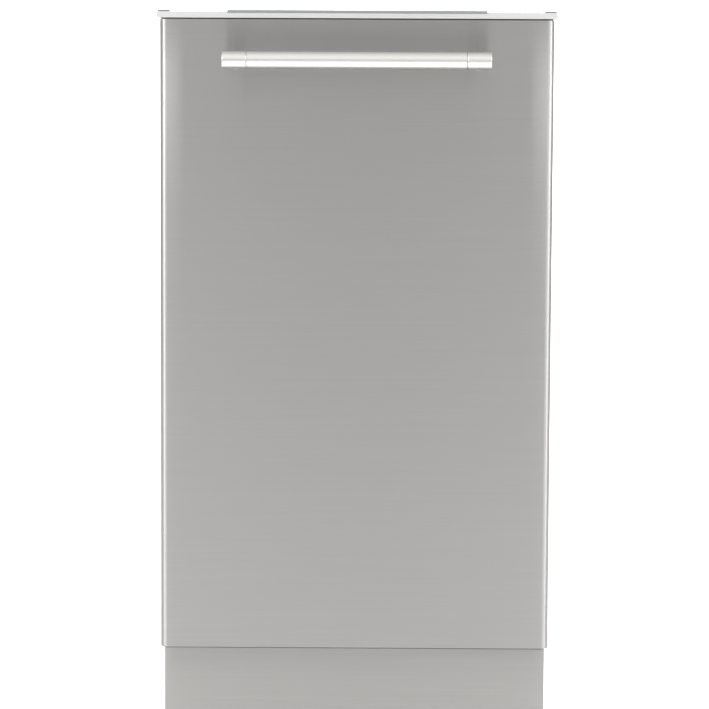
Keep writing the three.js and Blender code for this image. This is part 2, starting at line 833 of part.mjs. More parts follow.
function upperRack() {
  const wires = wirePlaces(upperHalf, 6, 6);
  const tineX = upperHalf - upperTines.inset;
  const tines = tineYs.map((y) => tine(tineX, y, upperBase + 1, upperTines.tall));
  const tineRail = block(
    [tineX - wire / 2, tineX + wire / 2],
    [rackFront + 1, rackBack - 1],
    [upperBase, upperBase + wire],
  );
  const runnerY = [rackBack - 10 - runnerLength, rackBack - 10];
  const runners = sides.map(({ side }) => block(mirrored(runner.x, side), runnerY, runner.z));
  const basketSides = rackSides(upperHalf, wires, upperBase, upperRim, 3);
  return join(rackFloor(wires, upperBase), basketSides, tines, tineRail, runners);
}

const shelf = { x: -upperHalf + wire + 2.5, z: upperBase + 66, width: 82, thickness: 3 };

function cupShelf() {
  const ys = [rackFront + 40, rackBack - 40];
  const half = shelf.thickness / 2;
  const plate = block([shelf.x - half, shelf.x + half], ys, [shelf.z - half, shelf.z + shelf.width]);
  const windows = evenly(5, ys[0] + 8, ys[1] - 68).map((y) =>
    block([shelf.x - 5, shelf.x + 5], [y, y + 60], [shelf.z + 8, shelf.z + shelf.width - 8]),
  );
  return cut(plate, ...windows);
}

function sprayManifold() {
  const tube = block([-11, 11], [hub.y - 12, dock.y - gap], [manifoldBottom, manifold.top]);
  const pin = rod(
    "z",
    [0, hub.y],
    manifold.pinRadius,
    manifoldBottom - manifold.pinLength,
    manifoldBottom + 1,
  );
  return join(tube, pin);
}

// ---------------------------------------------------------------- frame and base
/** A side frame: an upright, the hinge bracket with its pin, and a flange behind the tub's front. */
function sideFrame(side) {
  const back = frameFront + 56;
  const plate = polygon([
    [baseFront, baseBottom],
    [back, baseBottom],
    [back, flangeTop - 2],
    [frameFront, flangeTop - 2],
    [frameFront, pivot.z + hingeEye],
    [pivot.y - 9, pivot.z + hingeEye],
    [pivot.y - 9, pivot.z - hingeEye + 2],
    [frameFront + 2, pivot.z - hingeEye + 2],
    [frameFront + 2, doorBottom],
    [baseFront, doorBottom],
  ]);
  const x = mirrored([frameInner, frameInner + frameSheet], side);
  const web = prism(plate, "x", x[0], x[1]);
  const inwards = block(
    mirrored([tubHalf + frameSheet + 1, frameInner + 1], side),
    [frameFront, frameFront + frameSheet],
    [pivot.z + springHeight + 30, flangeTop - 2],
  );
  const pin = rod("x", [pivot.y, pivot.z], hingePin, side * (flangeHalf + 0.6), side * (frameInner + 1));
  return join(web, inwards, pin);
}

/** The crossbar over the tub, with a raised tab at each end that fixes to a worktop. */
function topCrossbar() {
  const half = frameInner - gap;
  const y = [frameFront + 2, frameFront + 24];
  const bar = block([-half, half], [y[0], frameFront + 40], [flangeTop - 4, flangeTop - 2]);
  const lip = block([-half, half], [frameFront + 38, frameFront + 40], [flangeTop - 4, flangeTop + 4]);
  const tabs = sides.flatMap(({ side }) => [
    block(mirrored([half - 7, half - 5], side), y, [flangeTop - 3, height]),
    block(mirrored([half - 7, half + 6], side), [tabFront, y[1]], [capTop + gap, height]),
  ]);
  return join(bar, lip, tabs);
}

const feet = [
  { name: "front_left_foot", side: -1, y: baseFront + 36 },
  { name: "front_right_foot", side: 1, y: baseFront + 36 },
  { name: "rear_left_foot", side: -1, y: bodyDepth - 46 },
  { name: "rear_right_foot", side: 1, y: bodyDepth - 46 },
];
const footX = baseHalf - footInset;

function baseTray() {
  const shell = block([-baseHalf, baseHalf], [baseFront, bodyDepth], [baseBottom, baseTop]);
  const hollow = block(
    [-baseHalf + baseWall, baseHalf - baseWall],
    [baseFront + baseWall, bodyDepth - baseWall],
    [baseBottom + baseWall, baseTop + 1],
  );
  const upright = ({ side, y }, radius, from, to) => rod("z", [side * footX, y], radius, from, to, 16);
  const bosses = feet.map((foot) => upright(foot, footBoss, baseBottom + 1, baseTop - 20));
  const bores = feet.map((foot) => upright(foot, footStem + gap, 0, baseTop));
  const anchors = sides.map(({ side }) =>
    block(
      mirrored([springAxis.x - springRadius - springWire, baseHalf], side),
      [hookY + hookLength + springLength + gap, hookY + hookLength + springLength + 6],
      [baseTop - 20, springAxis.z + springRadius],
    ),
  );
  return cut(join(cut(shell, hollow), bosses, anchors), ...bores);
}

/** A levelling foot: a pad and a threaded stem in a boss of the base. */
function levellingFoot({ side, y }) {
  return turned(
    [
      [0, 0],
      [footRadius, 0],
      [footRadius, 5],
      [footRadius - 4, 8],
      [footStem, 9],
      [footStem, baseTop - 26],
      [0, baseTop - 26],
    ],
    side * footX,
    y,
    18,
  );
}

function kickPlate() {
  const z = [kickBottom, doorBottom - kickTopGap];
  const outer = block([-panelHalf, panelHalf], [kickSetback, kickSetback + kickFold], z);
  const inside = [kickSetback + sheet, kickSetback + kickFold + 1];
  return cut(outer, block([-panelHalf + sheet, panelHalf - sheet], inside, [z[0] - 1, z[1] - sheet]));
}

function washPump() {
  const z = baseBottom + baseWall + 41;
  const y = hub.y + sumpBehind + 62;
  const motor = rod("x", [y, z], 34, -118, -38, 24);
  const volute = rod("x", [y, z], 38, -38, -14, 24);
  const inlet = rod("x", [y, z], 14, -15, 14, 16);
  const riser = rod("y", [0, z], 11, hub.y + sumpBehind + gap, y, 16);
  const foot = block([-100, -50], [y - 20, y + 20], [baseBottom + baseWall + gap, z]);
  return join(motor, volute, inlet, riser, foot);
}

function drainPump() {
  const z = tubFloor - sumpDepth + 26;
  const y = hub.y - 60;
  const motor = rod("x", [y, z], 22, -150, -106, 20);
  const chamber = rod("x", [y, z], 27, -107, -sumpHalfWidth - gap, 20);
  const spigot = rod("y", [-98, z], 9, y, y + 60, 14);
  return join(motor, chamber, spigot);
}

function inletValve() {
  const z = baseBottom + baseWall + 40;
  const back = bodyDepth - baseWall;
  const bodyBlock = block([90, 130], [back - 62, back - gap], [baseBottom + baseWall + gap, z + 22]);
  const coil = rod("z", [110, back - 36], 13, z + 20, z + 40, 16);
  return join(bodyBlock, coil);
}

function terminalBox() {
  const front = baseFront + baseWall + gap;
  const x = [60, 140];
  const bottom = baseBottom + baseWall + gap;
  const box = block(x, [front, front + 46], [bottom, bottom + 48]);
  const gland = rod("x", [front + 23, bottom + 22], 11, x[1] - 1, x[1] + 16, 16);
  return join(box, gland);
}

/** A balance spring as a true coil, hooked between the slider and the base. */
function balanceSpring(side) {
  const turns = 12;
  const steps = 6;
  const start = hookY + hookLength + gap;
  const length = springLength - 2 * gap;
  const path = new THREE.CatmullRomCurve3(
    Array.from({ length: turns * steps + 1 }, (_, i) => {
      const angle = (2 * Math.PI * i) / steps;
      const along = springWire + ((length - 2 * springWire) * i) / (turns * steps);
      return new THREE.Vector3(
        side * springAxis.x + springRadius * Math.cos(angle),
        start + along,
        springAxis.z + springRadius * Math.sin(angle),
      );
    }),
  );
  const section = new THREE.Shape();
  const r = springWire;
  section.moveTo(r, 0).lineTo(0, r).lineTo(-r, 0).lineTo(0, -r);
  return solid(new THREE.ExtrudeGeometry(section, { steps: turns * steps, extrudePath: path }));
}

/** The slider that the cable from the hinge arm pulls forwards. */
function springHook(side) {
  const { x, z } = springAxis;
  const head = block(
    mirrored([x - 5, armPlate.outer], side),
    [hookY, hookY + hookLength - gap],
    [z - 5, z + 5],
  );
  const cableX = (armPlate.inner + armPlate.outer) / 2;
  return join(head, rod("y", [side * cableX, z], 1.2, hookY - 24, hookY + 1, 8));
}

// ---------------------------------------------------------------- assembly
const dishwasher = new THREE.Group();
dishwasher.name = "dishwasher";
dishwasher.position.y = handleReach - (handleReach + bodyDepth) / 2;

const chassis = new THREE.Group();
chassis.add(
  node("tub", tub(), tubSteel),
  node("tub_gasket", tubGasket(), rubber),
  node("sump", sump(), darkPlastic),
  node("coarse_filter", coarseFilter(), tubSteel),
  node("water_duct", waterDuct(), greyPlastic),
  node("latch_strike", latchStrike(), galvanised),
  node("top_crossbar", topCrossbar(), galvanised),
  node("base_tray", baseTray(), darkPlastic),
  node("kick_plate", kickPlate(), brushedSteel),
  node("wash_pump", washPump(), darkPlastic),
  node("drain_pump", drainPump(), whitePlastic),
  node("inlet_valve", inletValve(), whitePlastic),
  node("terminal_box", terminalBox(), darkPlastic),
);
chassis.add(
  node("filter_cylinder", filterCylinder(), greyPlastic),
  node("float_cap", floatCap(), greyPlastic),
  node("top_sprayer", topSprayer(), greyPlastic),
  node(
    "lower_spray_arm",
    sprayArm(hub.y, hub.top - 7, lowerArmReach, hubRadius, hub.top, true),
    greyPlastic,
  ),
);
chassis.add(...feet.map((foot) => node(foot.name, levellingFoot(foot), darkPlastic)));
for (const { name, side } of sides) {
  chassis.add(
    node(`side_frame_${name}`, sideFrame(side), galvanised),
    node(`rail_outer_${name}`, rail(outerRail, side), galvanised),
    node(`rail_inner_${name}`, rail(innerRail, side), galvanised),
    node(`balance_spring_${name}`, balanceSpring(side), springSteel),
    node(`spring_hook_${name}`, springHook(side), galvanised),
  );
}

const lower = new THREE.Group();
lower.add(
  node("lower_rack", lowerRack(), nylonWire),
  node("lower_rack_floor", lowerRackFloor(), nylonWire),
  node("folding_tines", foldingTines(), nylonWire),
  node("cutlery_basket", cutleryBasket(), greyPlastic),
);
for (const { name, side } of sides) {
  lower.add(...wheelPlaces.map((at) => node(`${at.name}_wheel_${name}`, rackWheel(side, at.y), greyPlastic)));
}

const upper = new THREE.Group();
const upperArmBottom = manifoldBottom - manifold.pinLength - 3;
upper.add(
  node("upper_rack", upperRack(), nylonWire),
  node("cup_shelf", cupShelf(), greyPlastic),
  node("spray_manifold", sprayManifold(), greyPlastic),
  node(
    "upper_spray_arm",
    sprayArm(
      hub.y,
      upperArmBottom,
      upperArmReach,
      manifold.pinRadius,
      manifoldBottom - manifold.pinLength,
      false,
    ),
    greyPlastic,
  ),
);

const door = new THREE.Group();
door.add(
  node("door_panel", doorPanel(), brushedSteel),
  node("door_liner", doorLiner(), tubSteel),
  node("control_console", controlConsole(), capPlastic),
  node("control_strip", controlStrip(), stripPlastic),
  node("handle_bar", handleBar(), brushedSteel),
  ...sides.flatMap(({ name, side }) => [
    node(`handle_post_${name}`, handlePost(side), brushedSteel),
    node(`hinge_arm_${name}`, hingeArm(side), galvanised),
  ]),
  node("dispenser_body", dispenserBody(), whitePlastic),
  node("dispenser_lid", dispenserLid(), greyPlastic),
  node("rinse_aid_cap", rinseAidCap(), darkPlastic),
  node("latch_pawl", latchPawl(), darkPlastic),
  ...buttonNames.map((name, i) => node(name, controlButton(i), darkPlastic)),
);

dishwasher.add(chassis, lower, upper, door);

export default dishwasher;
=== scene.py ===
"""A built-in dishwasher, 45 cm class: the finished surfaces, built around the fixed frame.

Metres, +Z up, front towards -Y. Each class makes one sub-assembly, dresses it and sets it on its body.
"""

from __future__ import annotations

import logging
import math
from dataclasses import dataclass, field
from enum import Enum
from typing import Callable, Iterable, Sequence

import bpy
from bpy.types import Material, Node, NodeSocket, NodeTree, Object
from mathutils import Matrix, Vector

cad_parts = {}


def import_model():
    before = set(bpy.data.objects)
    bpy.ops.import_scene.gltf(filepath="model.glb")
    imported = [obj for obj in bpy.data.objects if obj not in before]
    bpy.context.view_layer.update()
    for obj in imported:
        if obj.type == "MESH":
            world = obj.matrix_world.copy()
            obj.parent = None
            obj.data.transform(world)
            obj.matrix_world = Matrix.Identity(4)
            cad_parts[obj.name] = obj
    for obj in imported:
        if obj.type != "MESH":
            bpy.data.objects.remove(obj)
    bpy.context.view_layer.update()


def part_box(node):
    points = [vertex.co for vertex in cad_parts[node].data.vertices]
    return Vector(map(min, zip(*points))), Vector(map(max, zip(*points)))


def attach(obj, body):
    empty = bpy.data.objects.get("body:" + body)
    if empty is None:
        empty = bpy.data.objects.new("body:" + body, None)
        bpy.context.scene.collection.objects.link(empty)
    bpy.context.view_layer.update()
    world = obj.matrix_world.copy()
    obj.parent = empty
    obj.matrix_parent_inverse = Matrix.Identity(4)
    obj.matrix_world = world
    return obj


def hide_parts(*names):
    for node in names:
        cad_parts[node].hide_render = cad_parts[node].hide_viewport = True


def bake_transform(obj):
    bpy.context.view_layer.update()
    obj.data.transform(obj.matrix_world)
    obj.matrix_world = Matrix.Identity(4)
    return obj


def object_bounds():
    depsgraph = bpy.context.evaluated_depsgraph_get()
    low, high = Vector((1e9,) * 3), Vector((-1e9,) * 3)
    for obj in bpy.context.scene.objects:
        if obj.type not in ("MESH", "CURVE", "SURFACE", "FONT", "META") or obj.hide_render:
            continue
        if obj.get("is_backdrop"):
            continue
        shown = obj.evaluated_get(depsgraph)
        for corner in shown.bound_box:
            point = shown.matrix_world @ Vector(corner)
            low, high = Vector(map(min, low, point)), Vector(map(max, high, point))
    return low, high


log = logging.getLogger("dishwasher")

MM = 0.001
NEAR = 0.01 * MM  # two heights or depths that are this close count as one
WELD = 0.002 * MM  # corners that are this close are welded
Point = Sequence[float]


class Side(Enum):
    """The two hands of the object, as seen from the front."""

    LEFT = -1
    RIGHT = 1

    @property
    def word(self) -> str:
        """The side's name as it stands in node names."""
        return self.name.lower()


class Axis(Enum):
    """A frame axis by its place in a vector."""

    X = 0
    Y = 1
    Z = 2


# ---------------------------------------------------------------- working with pieces
@dataclass(frozen=True)
class Room:
    """The box that a node of the frame fills.

    Args:
        low: its lowest corner.
        high: its highest corner.
    """

    low: Vector
    high: Vector

    @classmethod
    def of(cls, node: str) -> Room:
        """The room of a node by its name."""
        return cls(*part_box(node))

    @property
    def middle(self) -> Vector:
        """The middle of the room."""
        return (self.low + self.high) / 2

    @property
    def size(self) -> Vector:
        """The room's three sides."""
        return self.high - self.low


def pick(*pieces: Object) -> Object:
    """Selects only these pieces, in object mode, with the first one active.

    Args:
        pieces: the pieces to work on.

    Returns:
        The first piece.
    """
    if bpy.context.object and bpy.context.object.mode != "OBJECT":
        bpy.ops.object.mode_set(mode="OBJECT")
    bpy.ops.object.select_all(action="DESELECT")
    for piece in pieces:
        piece.select_set(True)
    bpy.context.view_layer.objects.active = pieces[0]
    return pieces[0]


def start() -> None:
    """Leaves nothing selected, ready for a new primitive."""
    if bpy.context.object and bpy.context.object.mode != "OBJECT":
        bpy.ops.object.mode_set(mode="OBJECT")
    bpy.ops.object.select_all(action="DESELECT")


def settle(name: str) -> Object:
    """Names the new primitive and moves its place into its mesh.

    Args:
        name: the piece's name.

    Returns:
        The piece, its object at the origin.
    """
    piece = bpy.context.object
    piece.name = name
    bpy.ops.object.transform_apply(location=True, rotation=True, scale=True)
    return piece


def block(name: str, low: Point, high: Point) -> Object:
    """A block between two corners.

    Args:
        name: the piece's name.
        low: the lowest corner.
        high: the highest corner.

    Returns:
        The block.
    """
    start()
    low, high = Vector(low), Vector(high)
    bpy.ops.mesh.primitive_cube_add(size=1, location=(low + high) / 2)
    bpy.context.object.scale = high - low
    return settle(name)


def rod(name: str, foot: Point, head: Point, radius: float, sides: int = 48) -> Object:
    """A round rod between two points.

    Args:
        name: the piece's name.
        foot: the middle of one end.
        head: the middle of the other end.
        radius: the rod's radius.
        sides: how many facets go round it.

    Returns:
        The rod.
    """
    start()
    foot, head = Vector(foot), Vector(head)
    turn = (head - foot).to_track_quat("Z", "Y").to_euler()
    bpy.ops.mesh.primitive_cylinder_add(
        vertices=sides, radius=radius, depth=(head - foot).length, location=(foot + head) / 2, rotation=turn
    )
    return settle(name)


def modify(piece: Object, kind: str, **settings: object) -> Object:
    """Adds a modifier with its settings and applies it.

    Args:
        piece: the piece to change.
        kind: the modifier's type.
        settings: its properties by name.

    Returns:
        The same piece.
    """
    pick(piece)
    modifier = piece.modifiers.new(kind.lower(), kind)
    for key, value in settings.items():
        setattr(modifier, key, value)
    bpy.ops.object.modifier_apply(modifier=modifier.name)
    return piece


def smooth(piece: Object, angle: float = 35) -> Object:
    """Shades a piece smooth across all but its sharp edges."""
    pick(piece)
    bpy.ops.object.shade_smooth_by_angle(angle=math.radians(angle))
    return piece


def soften(piece: Object, width: float, segments: int = 2, angle: float = 35) -> Object:
    """Rounds a piece's sharp edges and shades it smooth.

    Args:
        piece: the piece to round.
        width: how far the rounding reaches from each edge.
        segments: how many facets it has.
        angle: the least angle between two faces, in degrees, that counts as sharp.

    Returns:
        The same piece.
    """
    modify(
        piece,
        "BEVEL",
        width=width,
        segments=segments,
        limit_method="ANGLE",
        angle_limit=math.radians(angle),
        miter_outer="MITER_ARC",
    )
    return smooth(piece, angle)


def edit_where(piece: Object, kind: str, test: Callable[..., bool]) -> None:
    """Opens a piece for editing with the faces or edges selected that pass a test.

    Args:
        piece: the piece to open.
        kind: "FACE", whose test takes a normal and a middle, or "EDGE", whose test takes the two ends.
        test: says whether one is selected.
    """
    pick(piece)
    bpy.ops.object.mode_set(mode="EDIT")
    bpy.ops.mesh.select_mode(type=kind)
    bpy.ops.mesh.select_all(action="DESELECT")
    bpy.ops.object.mode_set(mode="OBJECT")
    mesh = piece.data
    if kind == "FACE":
        for face in mesh.polygons:
            face.select = test(face.normal, face.center)
    else:
        for edge in mesh.edges:
            edge.select = test(*(mesh.vertices[i].co for i in edge.vertices))
    bpy.ops.object.mode_set(mode="EDIT")


def close_edit() -> None:
    """Goes back from edit mode."""
    bpy.ops.object.mode_set(mode="OBJECT")


def round_edges(piece: Object, test: Callable[..., bool], radius: float, segments: int = 6) -> Object:
    """Rounds chosen edges to a radius.

    Args:
        piece: the piece to round.
        test: takes an edge's two ends and says whether it is rounded.
        radius: the radius.
        segments: how many facets the rounding has.

    Returns:
        The same piece.
    """
    edit_where(piece, "EDGE", test)
    bpy.ops.mesh.bevel(offset=radius, segments=segments, affect="EDGES")
    close_edit()
    return piece


def runs_along(axis: Axis) -> Callable[[Vector, Vector], bool]:
    """A test for edges that run along an axis."""
    return lambda a, b: abs((a - b).normalized()[axis.value]) > 0.999


def runs_at(axis: Axis, depth: float) -> Callable[[Vector, Vector], bool]:
    """A test for edges that run along an axis at a depth."""
    along = runs_along(axis)
    return lambda a, b: along(a, b) and abs(a.y - depth) < NEAR


def drop_faces(piece: Object, test: Callable[..., bool]) -> Object:
    """Deletes the faces that pass a test of their normal and middle."""
    edit_where(piece, "FACE", test)
    bpy.ops.mesh.delete(type="FACE")
    close_edit()
    return piece


def joined(name: str, pieces: Iterable[Object]) -> Object:
    """Joins pieces into one object.

    Args:
        name: the joined piece's name.
        pieces: what goes into it.

    Returns:
        The joined piece.
    """
    piece = pick(*pieces)
    if len(bpy.context.selected_objects) > 1:
        bpy.ops.object.join()
    piece.name = name
    return piece


def moved_copy(piece: Object, shift: Point) -> Object:
    """A copy of a piece, with a mesh of its own, moved by a vector."""
    twin = piece.copy()
    twin.data = piece.data.copy()
    bpy.context.collection.objects.link(twin)
    twin.data.transform(Matrix.Translation(Vector(shift)))
    return twin


def mirrored_copy(piece: Object) -> Object:
    """A copy of a piece on the other side of the object, its faces still pointing out."""
    twin = piece.copy()
    twin.data = piece.data.copy()
    bpy.context.collection.objects.link(twin)
    twin.data.transform(Matrix.Scale(-1, 4, Vector((1, 0, 0))))
    twin.data.flip_normals()
    return twin


def cut(piece: Object, tool: Object) -> Object:
    """Takes one piece's shape out of another and removes the tool."""
    modify(piece, "BOOLEAN", operation="DIFFERENCE", object=tool, solver="EXACT")
    bpy.data.objects.remove(tool)
    return piece


def repeated(piece: Object, count: int, axis: Axis, pitch: float) -> Object:
    """Repeats a piece along an axis, all in one mesh.

    Args:
        piece: the piece to repeat.
        count: how many there are in the end.
        axis: the axis that they stand along.
        pitch: the distance from one to the next.

    Returns:
        The same piece.
    """
    step = [0.0, 0.0, 0.0]
    step[axis.value] = pitch
    return modify(
        piece,
        "ARRAY",
        count=count,
        use_relative_offset=False,
        use_constant_offset=True,
        constant_offset_displace=step,
    )


def rounded_path(points: Sequence[Point], bend: float, closed: bool, steps: int = 5) -> list[Vector]:
    """A path with each corner turned into a smooth bend.

    Args:
        points: the corners.
        bend: how far from a corner its bend begins.
        closed: whether the last point joins the first.
        steps: how many stretches a bend has.

    Returns:
        The points along the path.
    """
    corners = [Vector(p) for p in points]
    path = []
    for i, corner in enumerate(corners):
        if not closed and i in (0, len(corners) - 1):
            path.append(corner)
            continue
        before, after = corners[i - 1], corners[(i + 1) % len(corners)]
        reach_in = min(bend, (before - corner).length * 0.49)
        reach_out = min(bend, (after - corner).length * 0.49)
        begin = corner + (before - corner).normalized() * reach_in
        end = corner + (after - corner).normalized() * reach_out
        for step in range(steps + 1):
            t = step / steps
            path.append(begin * (1 - t) ** 2 + corner * 2 * t * (1 - t) + end * t**2)
    return path


def wire(name: str, points: Sequence[Point], radius: float, bend: float = 0.0, closed: bool = False) -> Object:
    """A round wire along a path.

    Args:
        name: the piece's name.
        points: the path's corners.
        radius: the wire's radius.
        bend: how far from a corner its bend begins.
        closed: whether the wire joins its own start.

    Returns:
        The wire, as a mesh.
    """
    start()
    bpy.ops.curve.primitive_bezier_curve_add(location=(0, 0, 0))
    piece = bpy.context.object
    piece.name = name
    curve = piece.data
    curve.splines.clear()
    path = rounded_path(points, bend, closed) if bend else [Vector(p) for p in points]
    spline = curve.splines.new("POLY")
    spline.points.add(len(path) - 1)
    for place, point in zip(spline.points, path):
        place.co = (*point, 1)
    spline.use_cyclic_u = closed
    curve.dimensions = "3D"
    curve.bevel_depth = radius
    curve.bevel_resolution = 2
    curve.use_fill_caps = not closed
    bpy.ops.object.convert(target="MESH")
    pick(piece)
    bpy.ops.object.mode_set(mode="EDIT")
    bpy.ops.mesh.select_all(action="SELECT")
    bpy.ops.mesh.remove_doubles(threshold=1e-6)
    bpy.ops.mesh.normals_make_consistent(inside=False)
    close_edit()
    return smooth(piece, 60)


def refined(node: str, width: float, segments: int = 2, angle: float = 35, merge: bool = True) -> Object:
    """A finer copy of a solid of the frame: its triangles are welded and its edges rounded.

    Args:
        node: the solid's name.
        width: how far the rounding reaches from each edge.
        segments: how many facets it has.
        angle: the least angle between two faces, in degrees, that counts as sharp.
        merge: whether flat faces are merged first, which a plate with several windows doesn't survive.

    Returns:
        The copy, which stands for the solid.
    """
    piece = bpy.data.objects.new(f"{node}_finished", bpy.data.objects[node].data.copy())
    bpy.context.collection.objects.link(piece)
    pick(piece)
    bpy.ops.object.mode_set(mode="EDIT")
    bpy.ops.mesh.select_all(action="SELECT")
    bpy.ops.mesh.remove_doubles(threshold=WELD)
    if merge:
        bpy.ops.mesh.dissolve_limited(angle_limit=math.radians(0.5))
    close_edit()
    piece.data.materials.clear()
    soften(piece, width, segments, angle)
    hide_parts(node)
    return piece


def evenly(count: int, low: float, high: float) -> list[float]:
    """Evenly spaced values, both ends included."""
    return [low + (high - low) * i / (count - 1) for i in range(count)]


# ---------------------------------------------------------------- finishes
def linear(hex_colour: str) -> tuple[float, float, float, float]:
    """A linear colour from an sRGB hex value.

    Args:
        hex_colour: such as "#b0b0b0".

    Returns:
        Red, green and blue, linear, and an alpha of 1.
    """
    values = (int(hex_colour[i : i + 2], 16) / 255 for i in (1, 3, 5))
    red, green, blue = (v / 12.92 if v <= 0.04045 else ((v + 0.055) / 1.055) ** 2.4 for v in values)
    return red, green, blue, 1.0


def add_node(tree: NodeTree, kind: str, inputs: dict[str | int, object] | None = None, **settings: object) -> Node:
    """Adds a node, with its settings, values and links.

    Args:
        tree: the node tree.
        kind: the node's type, without "ShaderNode".
        inputs: values or sockets for its inputs, by name or place.
        settings: its properties by name.

    Returns:
        The node.
    """
    node = tree.nodes.new("ShaderNode" + kind)
    for key, value in settings.items():
        setattr(node, key, value)
    for key, value in (inputs or {}).items():
        if isinstance(value, NodeSocket):
            tree.links.new(value, node.inputs[key])
        else:
            node.inputs[key].default_value = value
    return node


def stretched_noise(tree: NodeTree, place: NodeSocket, scale: Point, detail: float) -> NodeSocket:
    """Noise with a scale of its own along each axis.

    Args:
        tree: the material's node tree.
        place: where a point lies, in metres.
        scale: patches to a metre along X, Y and Z.
        detail: how many finer layers it has.

    Returns:
        The noise's socket, from 0 to 1.
    """
    stretched = add_node(tree, "Mapping", {"Vector": place, "Scale": scale})
    noise = add_node(tree, "TexNoise", {"Vector": stretched.outputs[0], "Scale": 1.0, "Detail": detail})
    return noise.outputs[0]


@dataclass(frozen=True)
class Finish:
    """What every finish has.

    Args:
        name: the material's name.
        colour: its main colour, as an sRGB hex value.
        second: the colour that it varies towards.
        roughness: its mean roughness.
        spread: how far the roughness varies to each side.
        metallic: 1 for a metal.
    """

    name: str
    colour: str
    second: str
    roughness: float
    spread: float = 0.03
    metallic: float = 0.0

    def pattern(self, tree: NodeTree, place: NodeSocket) -> NodeSocket:
        """The finish's own pattern, from 0 to 1.

        Args:
            tree: the material's node tree.
            place: where a point lies, in metres.

        Returns:
            The pattern's socket.
        """
        noise = add_node(tree, "TexNoise", {"Vector": place, "Scale": 40.0, "Detail": 3.0})
        return noise.outputs[0]

    def relief(self) -> tuple[float, float]:
        """The pattern's bump: its strength, and its height in metres."""
        return 0.1, 0.0001

    def dress(self, tree: NodeTree, shader: Node) -> None:
        """Sets what only this finish has on its shader."""

    def build(self) -> Material:
        """The material, made once and shared.

        Returns:
            The material.
        """
        made = bpy.data.materials.get(self.name)
        if made:
            return made
        material = bpy.data.materials.new(self.name)
        material.use_nodes = True
        tree = material.node_tree
        tree.nodes.clear()
        place = add_node(tree, "TexCoord").outputs["Object"]
        pattern = self.pattern(tree, place)
        colour = add_node(
            tree, "Mix", {0: pattern, 6: linear(self.colour), 7: linear(self.second)}, data_type="RGBA"
        )
        roughness = add_node(
            tree,
            "MapRange",
            {"Value": pattern, "To Min": self.roughness - self.spread, "To Max": self.roughness + self.spread},
        )
        strength, height = self.relief()
        bump = add_node(tree, "Bump", {"Height": pattern, "Strength": strength, "Distance": height})
        shader = add_node(
            tree,
            "BsdfPrincipled",
            {
                "Base Color": colour.outputs[2],
                "Roughness": roughness.outputs[0],
                "Metallic": self.metallic,
                "Normal": bump.outputs[0],
            },
        )
        self.dress(tree, shader)
        add_node(tree, "OutputMaterial", {"Surface": shader.outputs[0]})
        return material


@dataclass(frozen=True)
class BrushedSteel(Finish):
    """Stainless steel brushed along X: reflections smear across the lines, and fine streaks follow them.

    Args:
        line: the height of one streak. Real ones are 0.1 to 0.3 mm, and these are coarser so that they show.
        length: the length of one streak.
        smear: how strongly reflections stretch across the lines.
        turned: whether it is a round bar along X and not a sheet.
    """

    metallic: float = 1.0
    line: float = 1.1 * MM
    length: float = 160 * MM
    smear: float = 1.0
    turned: bool = False

    def pattern(self, tree: NodeTree, place: NodeSocket) -> NodeSocket:
        """Long thin streaks along X."""
        return stretched_noise(tree, place, (1 / self.length, 1 / self.line, 1 / self.line), 4.0)

    def relief(self) -> tuple[float, float]:
        """Scratches far shallower than they are wide."""
        return 0.05, 0.00005

    def dress(self, tree: NodeTree, shader: Node) -> None:
        """Turns the smear across the lines: up a flat sheet, and round a bar."""
        tangent = add_node(tree, "Tangent", direction_type="RADIAL", axis="X" if self.turned else "Z")
        tree.links.new(tangent.outputs[0], shader.inputs["Tangent"])
        shader.inputs["Anisotropic"].default_value = self.smear
        shader.inputs["Anisotropic Rotation"].default_value = 0.0 if self.turned else 0.25


@dataclass(frozen=True)
class RolledSteel(Finish):
    """Bright rolled stainless sheet: a soft mirror with faint clouds from the mill.

    Args:
        cloud: the size of one cloud.
    """

    metallic: float = 1.0
    cloud: float = 60 * MM

    def pattern(self, tree: NodeTree, place: NodeSocket) -> NodeSocket:
        """Soft clouds drawn out along the rolling direction, Y."""
        return stretched_noise(tree, place, (1 / self.cloud, 0.3 / self.cloud, 1 / self.cloud), 6.0)

    def relief(self) -> tuple[float, float]:
        """A barely wavy sheet."""
        return 0.06, 0.0005


@dataclass(frozen=True)
class ZincCoat(Finish):
    """Hot-dip zinc on steel: flat crystals, each with its own grey.

    Args:
        crystal: the width of one crystal.
    """

    metallic: float = 1.0
    crystal: float = 9 * MM

    def pattern(self, tree: NodeTree, place: NodeSocket) -> NodeSocket:
        """Crystals as cells, their greys from the cells' own colours."""
        cells = add_node(tree, "TexVoronoi", {"Vector": place, "Scale": 1 / self.crystal, "Detail": 1.0})
        grey = add_node(tree, "RGBToBW", {0: cells.outputs["Color"]})
        return grey.outputs[0]

    def relief(self) -> tuple[float, float]:
        """Crystals are level, with the faintest steps."""
        return 0.05, 0.00003


@dataclass(frozen=True)
class Moulded(Finish):
    """A moulded plastic: an even colour with the fine grain of the mould.

    Args:
        grain: the width of one grain.
        depth: how deep the grain is.
    """

    grain: float = 0.9 * MM
    depth: float = 0.00004

    def pattern(self, tree: NodeTree, place: NodeSocket) -> NodeSocket:
        """Fine grain over a slow drift of the melt."""
        fine = add_node(tree, "TexNoise", {"Vector": place, "Scale": 1 / self.grain, "Detail": 2.0})
        slow = add_node(tree, "TexNoise", {"Vector": place, "Scale": 9.0, "Detail": 2.0})
        both = add_node(tree, "Math", {0: fine.outputs[0], 1: slow.outputs[0]}, operation="ADD")
        half = add_node(tree, "Math", {0: both.outputs[0], 1: 0.5}, operation="MULTIPLY")
        return half.outputs[0]

    def relief(self) -> tuple[float, float]:
        """The mould's grain."""
        return 0.25, self.depth


